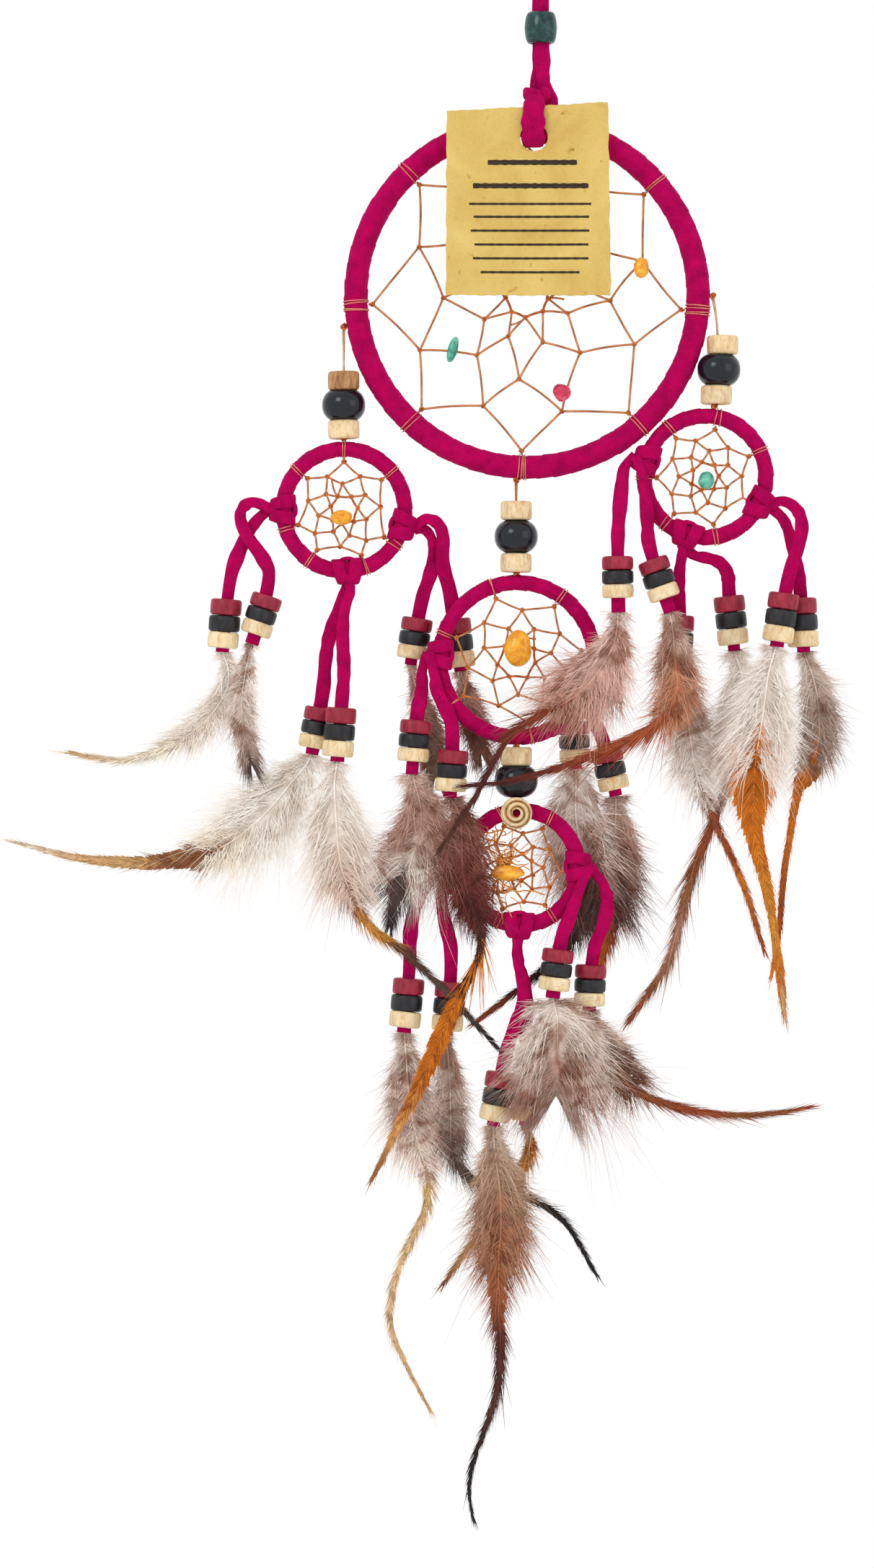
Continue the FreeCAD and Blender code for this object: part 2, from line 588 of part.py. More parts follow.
def hanging_lace():
    """The doubled lace: a loop for the nail and two legs through the drum bead to the knot."""
    half_thick = size("lace_thickness") / 2
    knot_top = HOOPS["main"]["centre"][1] + size("main_outer_radius") + size("knot_slack") + size("knot_wall")
    leg_top, leg_foot = -24.0, knot_top + 1
    width, gap = size("lace_width"), 0.1
    legs = [Part.makeBox(width, 2 * half_thick, leg_top - leg_foot,
                         at(-width / 2, depth - half_thick, leg_foot))
            for depth in (-half_thick - gap, half_thick + gap)]
    side = [at(-half_thick - gap, 0, -25.5), at(-4.5, 0, -18.5), at(-6.5, 0, -9.5), at(-4.0, 0, -1.6)]
    top = at(0, 0, half_thick)
    other = [at(-p.x, 0, p.z) for p in reversed(side)]
    points = side + [top] + other
    wire, radii = rounded_route(points)
    heading = points[1] - points[0]
    heading.normalize()
    across = heading.cross(DEPTH) * half_thick
    depth = DEPTH * (width / 2)
    corners = [points[0] + across * i + depth * j for i, j in ((1, 1), (-1, 1), (-1, -1), (1, -1))]
    sweep = Part.BRepOffsetAPI.MakePipeShell(wire)
    sweep.setBiNormalMode(DEPTH)
    sweep.add(Part.makePolygon(corners + corners[:1]))
    sweep.build()
    sweep.makeSolid()
    print("%-26s length %5.1f, radii %s" % ("hanging_loop", wire.Length, radii))
    return sweep.shape().multiFuse(legs)


def tag_nodes():
    """The card, with its hole, and the end of the lace that holds it."""
    body = doc.addObject("PartDesign::Body", "tag_card")
    body.Placement = FreeCAD.Placement(at(-4.2, -6.4, -73.0), FreeCAD.Rotation())
    sketch = body.newObject("Sketcher::SketchObject", "tag_outline")
    plane = [f for f in body.Origin.OriginFeatures if f.Role == "XZ_Plane"][0]
    sketch.AttachmentSupport = [(plane, "")]
    sketch.MapMode = "FlatFace"
    half, height = size("tag_width") / 2, size("tag_height")
    corners = [at(half, 1.2, 0), at(-half, -1.6, 0), at(-half - 0.2, -height, 0), at(half + 0.8, -height, 0)]
    for first, last in zip(corners, corners[1:] + corners[:1]):
        sketch.addGeometry(Part.LineSegment(first, last), False)
    for side in range(4):
        sketch.addConstraint(Sketcher.Constraint("Coincident", side, 2, (side + 1) % 4, 1))
    hole = sketch.addGeometry(Part.Circle(at(2.0, -size("tag_hole_drop"), 0), at(0, 0, 1), 1.0), False)
    number = sketch.addConstraint(Sketcher.Constraint("Radius", hole, 1.0))
    sketch.setExpression("Constraints[%d]" % number, "sizes.tag_hole_radius")
    number = sketch.addConstraint(Sketcher.Constraint("DistanceY", hole, 3, -1, 1, 1.0))
    sketch.setExpression("Constraints[%d]" % number, "sizes.tag_hole_drop")
    pad = body.newObject("PartDesign::Pad", "tag_sheet")
    pad.Profile = sketch
    pad.setExpression("Length", "sizes.tag_thickness")
    body.Tip = pad
    doc.recompute()
    keep(body, "tag_card")
    points = [at(-2.2, -7.5, -72.6), at(-2.2, -8.2, -76.4), at(-2.2, -8.0, -80.2), at(-2.2, -6.4, -82.9),
              at(-2.2, -4.4, -84.0)]
    wire, radii = rounded_route(points)
    heading = points[1] - points[0]
    heading.normalize()
    side = at(1, 0, 0)
    across = heading.cross(side) * (size("lace_thickness") / 2)
    width = side * (size("lace_width") / 2 + 0.7)
    corners = [points[0] + across * i + width * j for i, j in ((1, 1), (-1, 1), (-1, -1), (1, -1))]
    sweep = Part.BRepOffsetAPI.MakePipeShell(wire)
    sweep.setBiNormalMode(side)
    sweep.add(Part.makePolygon(corners + corners[:1]))
    sweep.build()
    sweep.makeSolid()
    print("%-26s length %5.1f, radii %s" % ("tag_loop", wire.Length, radii))
    coded("tag_loop", sweep.shape())


def string_nodes(key, string, masters):
    """A thread between two hoops, and the beads on it."""
    route = [at(x, 0, z) for x, z in string["route"]]
    joints = [Part.makeSphere(size("thread_radius"), point) for point in route[1:-1]]
    runs = [thread(first, last) for first, last in zip(route, route[1:])]
    coded(key + "_thread", runs[0].multiFuse(runs[1:] + joints) if joints else runs[0])
    links = []
    for i, (kind, x, z) in enumerate(string["beads"], 1):
        point = at(x, 0, z)
        direction = UP
        if kind == "face":
            direction = DEPTH
            point.y = -(size("small_band") / 2 + size("thread_radius") * 2 + 0.15 + size("thin_disc") / 2)
        links.append(placed(masters[kind], point, direction, "%s_string_bead_%d" % (key, i)))
    grouped(key + "_string_beads", links)


def tassel_nodes(name, strands, masters):
    """A folded lace's two strands, their beads and their feathers."""
    laces, beads, plumes = [], [], []
    for number, strand in enumerate(strands, 1):
        points = [at(*point) for point in strand["route"]]
        laces.append(flat_lace(points, "%s strand %d" % (name, number)))
        down = points[-1] - points[-2]
        down.normalize()
        tall = size(strand["disc"])
        centre = points[-1] - down * (strand["bare"] + tall / 2)
        for i in range(3):
            spot = centre - down * (i * (tall + 0.12))
            beads.append(placed(masters[strand["disc"]], spot, down, "%s_bead_%d%d" % (name, number, i)))
        quill = [centre, points[-1] + down * 0.5]
        spine = [(p.x, p.z, size("quill_radius")) for p in quill] + list(strand["feather"])
        plumes.append(feather(spine, points[-1].y - strand["quill"]))
    coded(name + "_laces", Part.Compound(laces))
    grouped(name + "_beads", beads)
    coded(name + "_feathers", Part.Compound(plumes))


def build():
    for key, hoop in HOOPS.items():
        hoop_nodes(key, hoop)
    doc.recompute()
    coded("hanging_lace", hanging_lace())
    pony = revolved_bead("pony_bead", "pony_radius", "pony_hole_radius", "pony_length")
    pony.Placement = FreeCAD.Placement(at(0, 0, -48.5), FreeCAD.Rotation())
    keep(pony, "pony_bead")
    tag_nodes()
    masters = {
        "thick_disc": revolved_bead("thick_disc_bead", "disc_radius", "disc_hole_radius", "thick_disc"),
        "thin_disc": revolved_bead("thin_disc_bead", "disc_radius", "disc_hole_radius", "thin_disc"),
        "disc": revolved_bead("string_disc_bead", "disc_radius", "disc_hole_radius", "string_disc"),
        "ball": ball_bead(),
    }
    masters["face"] = masters["thin_disc"]
    for key, string in STRINGS.items():
        string_nodes(key, string, masters)
    for name, strands in TASSELS.items():
        tassel_nodes(name, strands, masters)
    doc.recompute()


def check_and_export():
    failed = [item.Name for item in doc.Objects if {"Invalid", "Error"} & set(item.State)]
    if failed:
        raise RuntimeError("failed objects: %s" % failed)
    labels = [item.Label for item in nodes]
    if len(set(labels)) != len(labels) or len(labels) > 60:
        raise RuntimeError("labels repeat, or there are too many: %d" % len(labels))
    for item in nodes:
        if item.Shape.isNull() or not item.Shape.isValid() or not item.Shape.Solids:
            raise RuntimeError("bad shape: %s" % item.Label)
    os.makedirs("parts", exist_ok=True)
    for item in nodes:
        item.Shape.exportStep("parts/%s.step" % item.Label)
    print("%d nodes, %d solids" % (len(nodes), sum(len(item.Shape.Solids) for item in nodes)))


build()
check_and_export()
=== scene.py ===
import math

import bmesh
import bpy
import numpy as np
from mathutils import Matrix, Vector


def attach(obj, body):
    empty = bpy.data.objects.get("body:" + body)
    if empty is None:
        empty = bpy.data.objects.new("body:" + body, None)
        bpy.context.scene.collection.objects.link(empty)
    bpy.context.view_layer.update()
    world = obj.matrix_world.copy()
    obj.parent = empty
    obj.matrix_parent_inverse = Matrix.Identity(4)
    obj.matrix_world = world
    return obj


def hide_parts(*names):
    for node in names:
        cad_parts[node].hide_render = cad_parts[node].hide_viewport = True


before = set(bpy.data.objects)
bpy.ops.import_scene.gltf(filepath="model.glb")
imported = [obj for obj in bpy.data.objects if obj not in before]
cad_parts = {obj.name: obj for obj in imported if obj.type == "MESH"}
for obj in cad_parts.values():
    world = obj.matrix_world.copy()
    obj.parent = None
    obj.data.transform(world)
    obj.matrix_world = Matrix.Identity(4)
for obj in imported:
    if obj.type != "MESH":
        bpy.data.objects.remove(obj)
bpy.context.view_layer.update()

# A suede-wrapped dream catcher with four small webbed hoops and eleven feathered tassels.
# +Z is up, +X to the viewer's right and -Y towards the viewer. Lengths are in metres, apart
# from those of the tables, which are in tenths of a millimetre.

scene = bpy.context.scene
BACK = np.array((0.0, 1.0, 0.0))
LACE_WIDTH, LACE_THICK = 0.0044, 0.0013
THREAD, LASHING_THREAD = 0.00034, 0.00019
STRING_WIDTH, PLY, TWIST = 0.0008, 0.00026, 0.00022
WEB_THREAD, WEB_KNOT, CLEARANCE, CHIP_GAP = 0.00035, 0.0006, 0.00005, 0.0002
HITCH_SIZE, LOOP_SIZE = 0.0006, 0.00055
STRING_HITCHES = (183, 355, 268)
BEAD_RADIUS, BEAD_HOLE, BEAD_GAP, RIM = 0.00475, 0.0026, 0.00012, 0.0008
STRING_DISC = (0.0024, 0.0057, 0.0009)  # hole, height, rim
BALL_SIZE = (0.0066, 0.0054, 0.0012)  # radius, half height, hole
SMALL_BAND, SPIRAL_HALF, SPIRAL_GAP = 0.0024, 0.00205, 0.00085
KNOT_SLACK, KNOT_WALL = 0.0003, 0.0012
MAIN_KNOT, SMALL_KNOT = 0.0052, 0.0040
CARD_THICK = 0.0004
DOWN_DEPTH, QUILL = 0.0048, 0.00036
BARB_WIDTH, HAIR_WIDTH, DOWN_WIDTH = (0.00012, 0.00030), (0.00022, 0.00045), (0.00010, 0.00030)
UV_RANGE = 0.002, 0.998
WEB_SEED, CHIP_SEED, STRING_SEED, TASSEL_SEED = 20, 40, 60, 80

# Each hoop: its centre's x and z, centreline radius and band radius; the winding's turns; the
# rounds of its web; the web's hitches and the lace knots in degrees; and its chips as (x, z,
# half width, half height, stone), placed from its centre.
HOOPS = {
    "main": ((-42, -1301, 521, 36), 66, 4, (41, 90, 134, 183, 227, 268, 311, 355), (84.5,),
        ((-226, -164, 16, 40, "turquoise"), (105, -295, 28, 29, "pink"), (347, 84, 25, 32, "amber"))),
    "left_hoop": ((-599, -1952, 185, 24), 27, 3, (39, 90, 139, 198, 236, 291, 326), (180, 273.4, 344.4),
        ((-7, -24, 34, 23, "amber"),)),
    "right_hoop": ((500, -1851, 185, 24), 27, 3, (25, 78, 127, 181, 230, 280, 331), (164, 252, 334),
        ((2, -12, 25, 28, "turquoise"),)),
    "middle_hoop": ((-72, -2408, 235, 24), 33, 3, (8, 55, 109, 160, 214, 281, 326), (175.7, 326),
        ((2, 34, 44, 56, "amber"),)),
    "bottom_hoop": ((-61, -3041, 174, 24), 25, 3, (61, 112, 155, 203, 246, 303, 355), (180, 268, 2),
        ((-40, -16, 52, 24, "amber"),)),
}

# The beaded threads: the route, then the beads as (kind, x, z). A face is a disc seen face on.
STRINGS = {
    "left": (((-600, 0, -1396), (-600, 0, -1734)),
            (("disc", -600, -1559), ("ball", -600, -1633), ("disc", -600, -1707))),
    "right": (((523, 0, -1302), (552, 0, -1425), (528, 0, -1637)),
             (("disc", 553, -1450), ("ball", 542, -1525), ("disc", 534, -1602))),
    "middle": (((-75, 0, -1862), (-75, 0, -2146)),
              (("disc", -75, -1954), ("ball", -75, -2033), ("disc", -75, -2113))),
    "bottom": (((-75, 0, -2671), (-75, 0, -2839)),
              (("disc", -75, -2702), ("ball", -75, -2776), ("face", -75, -2874))),
}

# The feathers' colours.
PALETTE = {
    "pale": (0.97, 0.93, 0.9), "white": (1, 0.985, 0.965), "cream": (0.98, 0.94, 0.86),
    "sand": (0.92, 0.8, 0.66), "tan": (0.87, 0.7, 0.47), "dove": (0.88, 0.81, 0.77),
    "grey": (0.69, 0.6, 0.55), "slate": (0.36, 0.29, 0.27), "brown": (0.6, 0.37, 0.22),
    "honey": (0.9, 0.72, 0.52), "rose": (0.9, 0.79, 0.74), "gold": (0.9, 0.62, 0.22),
    "umber": (0.36, 0.22, 0.17), "black": (0.14, 0.11, 0.105), "fawn": (0.76, 0.6, 0.54),
    "dusk": (0.52, 0.37, 0.32), "cocoa": (0.62, 0.4, 0.35), "wine": (0.5, 0.25, 0.22),
    "plum": (0.42, 0.18, 0.16), "orange": (0.86, 0.48, 0.08), "apricot": (0.93, 0.7, 0.42),
    "rust": (0.66, 0.3, 0.15), "blush": (0.95, 0.83, 0.79), "salmon": (0.91, 0.75, 0.7),
    "clay": (0.82, 0.64, 0.57), "maroon": (0.37, 0.16, 0.14), "nougat": (0.82, 0.66, 0.58),
    "copper": (0.82, 0.56, 0.42), "brick": (0.74, 0.38, 0.22), "taupe": (0.74, 0.54, 0.45),
    "wheat": (0.95, 0.82, 0.62), "oat": (0.92, 0.77, 0.58), "beige": (0.82, 0.7, 0.6),
    "camel": (0.72, 0.55, 0.44), "cinnamon": (0.74, 0.47, 0.32), "russet": (0.7, 0.4, 0.26),
}

# Each tassel's two strands. First its measures: a disc's thickness, the bare end below the
# discs, how far the quill lies in front of the lace, the lace's route, and the feather's spine
# as (x, z, half width). Then where the down ends and the vane begins; "plain" for down that
# isn't mottled with brown, "shut" for a stiff vane and "loose" for a ragged one; long hairs that
# part from the vane, as how many, their first and last share of the feather, their reach in
# metres and their place in the colours (0: that of their root); and the colours by percent.
TASSELS = {
    "left_hoop_left": (
        ((49, 12, 11, ((-840, 8, -1957), (-880, 9, -2000), (-920, 10, -2077), (-953, 10, -2173),
          (-970, 10, -2384)),
          ((-950, -2430, 30), (-950, -2495, 40), (-990, -2560, 44), (-1040, -2615, 38),
           (-1110, -2660, 24), (-1195, -2700, 13), (-1300, -2720, 9), (-1435, -2690, 3))),
         0.46, "plain", (24, 0.35, 0.6, 0.01, 0),
         "0 pale 20 white 45 pale 58 cream 74 cream 90 sand 100 tan"),
        ((41, 30, 11, ((-834, -8, -1941), (-887, -9, -1923), (-922, -10, -1963), (-898, -10, -2029),
          (-847, -10, -2094), (-814, -10, -2162), (-880, -10, -2360)),
          ((-895, -2430, 28), (-910, -2510, 36), (-910, -2595, 36), (-895, -2670, 26),
           (-880, -2730, 11))),
         0.9, "", (),
         "0 white 35 pale 70 dove 88 grey 100 slate"),
    ),
    "left_hoop_bottom": (
        ((41, 20, 11, ((-595, 8, -2190), (-619, 20, -2255), (-645, 30, -2332), (-659, 36, -2424),
          (-661, 36, -2503), (-698, 36, -2696)),
          ((-715, -2730, 46), (-760, -2780, 78), (-810, -2845, 96), (-875, -2910, 96), (-950, -2970, 62),
           (-1040, -3005, 31), (-1170, -3025, 24), (-1300, -3025, 18), (-1430, -3010, 11),
           (-1540, -2980, 7), (-1640, -2955, 3))),
         0.38, "plain shut", (),
         "0 white 30 white 38 cream 44 brown 56 brown 66 tan 82 honey 100 cream"),
        ((49, 15, 11, ((-573, -8, -2190), (-597, -20, -2244), (-604, -30, -2342), (-597, -36, -2441),
          (-604, -36, -2520), (-619, -36, -2718)),
          ((-630, -2780, 50), (-625, -2860, 84), (-620, -2945, 88), (-610, -3035, 60), (-580, -3115, 22),
           (-540, -3200, 18), (-485, -3250, 19), (-430, -3285, 13), (-320, -3385, 9), (-225, -3485, 9),
           (-120, -3600, 4))),
         0.38, "plain", (),
         "0 pale 10 white 26 pale 38 rose 45 brown 56 gold 64 umber 85 slate 100 black"),
    ),
    "left_hoop_right": (
        ((41, 20, 11, ((-360, 9, -2002), (-330, 25, -2034), (-323, 50, -2090), (-338, 75, -2154),
          (-367, 90, -2226), (-397, 90, -2422)),
          ((-375, -2505, 26), (-350, -2595, 44), (-330, -2685, 44), (-320, -2770, 18))),
         0.95, "", (),
         "0 rose 50 fawn 100 grey"),
        ((49, 12, 19, ((-364, -9, -1976), (-316, -9, -1985), (-294, 8, -2029), (-303, 42, -2116),
          (-268, 90, -2213), (-244, 90, -2441)),
          ((-230, -2495, 31), (-210, -2575, 44), (-195, -2640, 35), (-180, -2695, 9))),
         0.95, "", (),
         "0 rose 50 fawn 100 dusk"),
    ),
    "middle_hoop_left": (
        ((41, 40, 11, ((-364, -6, -2434), (-360, -14, -2481), (-366, -20, -2529), (-378, -20, -2577),
          (-393, -20, -2757)),
          ((-370, -2825, 60), (-360, -2900, 92), (-380, -2980, 92), (-415, -3045, 55), (-445, -3120, 26),
           (-460, -3225, 4))),
         0.64, "", (24, 0.5, 0.8, 0.01, 0),
         "0 pale 12 rose 28 fawn 42 fawn 60 pale 72 slate 86 slate 100 black"),
        ((41, 20, 19, ((-323, -39, -2448), (-318, -39, -2507), (-285, -39, -2562), (-263, -38, -2628),
          (-277, -34, -2828)),
          ((-245, -2870, 40), (-240, -2955, 65), (-240, -3055, 68), (-215, -3145, 44), (-185, -3220, 15),
           (-180, -3275, 9), (-200, -3340, 10), (-240, -3410, 26), (-285, -3505, 31), (-330, -3615, 29),
           (-380, -3725, 20), (-440, -3835, 13), (-485, -3935, 9), (-525, -4005, 3))),
         0.36, "shut", (44, 0.35, 0.46, 0.02, 0.57),
         "0 fawn 10 cocoa 20 wine 30 plum 40 umber 50 black 55 orange 75 orange 90 apricot 100 brown"),
    ),
    "middle_hoop_right": (
        ((41, 20, 11, ((149, 47, -2512), (123, 70, -2520), (100, 90, -2560), (108, 90, -2740)),
          ((110, -2780, 60), (105, -2880, 90), (125, -2990, 88), (140, -3090, 58), (125, -3210, 31),
           (65, -3310, 18), (5, -3360, 11), (-110, -3450, 9), (-210, -3525, 4))),
         0.5, "", (),
         "0 white 20 pale 32 rose 44 dusk 54 slate 75 black 85 umber 100 rust"),
        ((41, 20, 19, ((152, 31, -2586), (170, 64, -2606), (194, 90, -2649), (232, 90, -2823)),
          ((230, -2880, 48), (225, -2980, 75), (220, -3090, 72), (220, -3190, 31), (200, -3275, 22),
           (175, -3350, 7))),
         0.66, "", (),
         "0 pale 20 fawn 42 dusk 60 slate 76 rust 100 orange"),
    ),
    "right_hoop_left": (
        ((41, 44, 11, ((254, -15, -1810), (246, -40, -1868), (237, -66, -1963), (230, -78, -2050),
          (234, -78, -2266)),
          ((225, -2355, 57), (185, -2430, 100), (135, -2495, 90), (75, -2540, 48), (-10, -2580, 17),
           (-85, -2625, 10), (-155, -2740, 9), (-215, -2850, 9), (-325, -3010, 4))),
         0.38, "loose", (34, 0.34, 0.66, 0.018, 0),
         "0 pale 12 blush 24 salmon 36 clay 45 rust 70 maroon 100 umber"),
        ((41, 44, 19, ((312, -40, -1846), (316, -58, -1916), (323, -74, -2002), (323, -77, -2068),
          (391, -77, -2266)),
          ((400, -2340, 44), (405, -2420, 61), (415, -2495, 53), (395, -2560, 44), (315, -2635, 31),
           (170, -2695, 20), (30, -2745, 12), (-125, -2785, 7), (-270, -2795, 4))),
         0.3, "loose", (50, 0.2, 0.6, 0.022, 0),
         "0 pale 10 rose 18 nougat 28 copper 40 brick 60 rust 85 maroon 100 maroon"),
    ),
    "right_hoop_bottom": (
        ((49, 20, 11, ((432, -8, -2078), (424, 12, -2126), (419, 34, -2182), (424, 45, -2244),
          (415, 45, -2441)),
          ((435, -2505, 44), (450, -2605, 66), (465, -2705, 53), (490, -2810, 15), (540, -2920, 11),
           (600, -3045, 11), (635, -3135, 9), (685, -3305, 4))),
         0.44, "", (),
         "0 pale 30 pale 42 white 50 brown 62 rust 80 orange 100 rust"),
        ((49, 20, 11, ((462, 8, -2092), (505, 16, -2096), (551, 32, -2110), (575, 52, -2148),
          (575, 68, -2201), (593, 71, -2380)),
          ((615, -2440, 53), (625, -2520, 80), (625, -2605, 80), (615, -2685, 60), (595, -2745, 22),
           (570, -2795, 11), (535, -2885, 15), (495, -2975, 24), (455, -3090, 30), (425, -3215, 33),
           (395, -3330, 30), (335, -3415, 22), (245, -3550, 4))),
         0.36, "plain loose", (50, 0.36, 0.8, 0.016, 0),
         "0 white 18 pale 30 rose 38 grey 48 rust 62 brown 80 taupe 90 brown 100 rust"),
    ),
    "right_hoop_right": (
        ((49, 15, 11, ((714, -9, -1921), (764, -16, -1932), (796, -26, -1978), (788, -35, -2057),
          (746, -39, -2156), (716, -39, -2369)),
          ((690, -2440, 62), (680, -2530, 82), (665, -2630, 85), (650, -2715, 70), (645, -2795, 52),
           (640, -2915, 29), (665, -3020, 22), (690, -3115, 18), (705, -3215, 13), (720, -3320, 16),
           (730, -3405, 14), (740, -3510, 3))),
         0.28, "plain shut", (),
         "0 pale 14 white 26 pale 30 orange 55 orange 80 gold 90 orange 100 tan"),
        ((49, 16, 11, ((718, 9, -1956), (746, 18, -1986), (766, 28, -2046), (784, 35, -2130),
          (793, 39, -2189), (803, 39, -2384)),
          ((830, -2450, 40), (850, -2550, 53), (850, -2660, 48), (820, -2740, 26), (785, -2795, 15),
           (760, -2945, 11), (740, -3065, 11), (725, -3275, 9), (700, -3390, 4))),
         0.32, "shut", (),
         "0 pale 12 dove 22 grey 30 grey 36 orange 60 orange 85 rust 100 orange"),
    ),
    "bottom_hoop_left": (
        ((49, 16, 11, ((-290, -8, -3050), (-340, -2, -3082), (-382, 6, -3150), (-400, 10, -3245),
          (-397, 10, -3341), (-417, 10, -3543)),
          ((-410, -3605, 40), (-405, -3695, 61), (-395, -3790, 61), (-375, -3890, 35), (-345, -3960, 18),
           (-340, -4060, 15), (-385, -4155, 13), (-430, -4250, 11), (-455, -4350, 9), (-460, -4430, 9),
           (-430, -4515, 7), (-385, -4605, 5), (-330, -4705, 3))),
         0.34, "", (),
         "0 pale 12 dove 25 rose 33 pale 40 tan 60 wheat 80 oat 100 tan"),
        ((49, 14, 11, ((-294, 10, -3074), (-305, 15, -3135), (-290, 15, -3218), (-265, 15, -3308),
          (-288, 15, -3552)),
          ((-280, -3640, 35), (-275, -3735, 46), (-275, -3825, 40), (-275, -3910, 26), (-230, -3980, 20),
           (-155, -4020, 15), (-55, -4040, 13), (20, -4075, 11), (80, -4125, 9), (130, -4210, 7),
           (175, -4290, 3))),
         0.36, "", (),
         "0 pale 16 dove 28 grey 40 slate 58 slate 62 tan 66 black 100 black"),
    ),
    "bottom_hoop_bottom": (
        ((49, 16, 11, ((-72, -8, -3268), (-72, -9, -3328), (-53, -10, -3390), (-50, -8, -3456),
          (-83, -3, -3535), (-110, 0, -3609), (-145, 0, -3827)),
          ((-140, -3910, 53), (-125, -4010, 77), (-120, -4110, 77), (-125, -4200, 57), (-130, -4285, 44),
           (-130, -4395, 31), (-120, -4495, 20), (-130, -4645, 13), (-180, -4770, 9), (-215, -4880, 7),
           (-220, -4965, 5), (-200, -5040, 3))),
         0.3, "", (50, 0.28, 0.66, 0.013, 0),
         "0 pale 10 beige 22 camel 34 cinnamon 48 russet 58 maroon 75 umber 85 black 100 black"),
        ((49, 15, 11, ((-72, 8, -3268), (-68, 13, -3333), (-46, 22, -3394), (-42, 34, -3469),
          (-50, 46, -3548), (-33, 56, -3627), (-48, 56, -3829)),
          ((-25, -3880, 18), (-50, -3955, 22), (-110, -4060, 20), (-185, -4160, 15), (-240, -4230, 11),
           (-300, -4320, 4))),
         0.2, "", (),
         "0 brown 30 gold 60 brown 80 tan 100 brown"),
    ),
    "bottom_hoop_right": (
        ((41, 24, 19, ((120, -34, -3094), (103, -39, -3144), (83, -43, -3203), (57, -43, -3258),
          (35, -43, -3436)),
          ((50, -3490, 110), (50, -3560, 130), (50, -3635, 120), (48, -3695, 80), (45, -3735, 30))),
         0.95, "", (),
         "0 pale 25 pale 50 dove 75 fawn 100 grey"),
        ((41, 15, 19, ((162, 3, -3054), (193, 5, -3089), (206, 5, -3150), (189, 5, -3227),
          (154, 5, -3293), (147, 5, -3477)),
          ((180, -3540, 40), (215, -3605, 53), (250, -3680, 57), (315, -3740, 31), (430, -3775, 18),
           (570, -3795, 13), (705, -3790, 11), (845, -3765, 4))),
         0.28, "loose", (30, 0.26, 0.7, 0.014, 0),
         "0 pale 14 rose 22 dusk 30 brown 60 rust 80 brown 100 rust"),
    ),
}

# The tag's printed rules as (z, length, height, x).
RULES = ((-172, 270, 18, 15), (-243, 350, 18, 10), (-298, 370, 8, 8), (-337, 350, 8, 12),
         (-379, 360, 8, 8), (-421, 345, 8, 12), (-463, 350, 8, 10), (-505, 300, 8, 8))


def metres(value):
    """A table's numbers as metres, at any depth; its words stay."""
    if isinstance(value, tuple):
        return tuple(map(metres, value))
    return value if isinstance(value, str) else value / 10000


class Hoop:
    def __init__(self, sizes, turns, rounds, hitches, knots, chips):
        x, z, self.ring, self.band = metres(sizes)
        self.centre, self.turns, self.rounds = (x, z), turns, rounds
        self.hitches, self.knots, self.chips = hitches, knots, metres(chips)

    def at(self, radius, degrees, depth=0.0):
        turn = math.radians(degrees)
        x, z = self.centre
        return np.array((x + radius * math.cos(turn), depth, z + radius * math.sin(turn)))


# ---------------------------------------------------------------- materials

def linear(color):
    """An sRGB colour, or the one number of a grey, as Blender's linear RGBA."""
    color = color if isinstance(color, tuple) else (color,) * 3
    return (*(c / 12.92 if c <= 0.04045 else ((c + 0.055) / 1.055) ** 2.4 for c in color), 1.0)


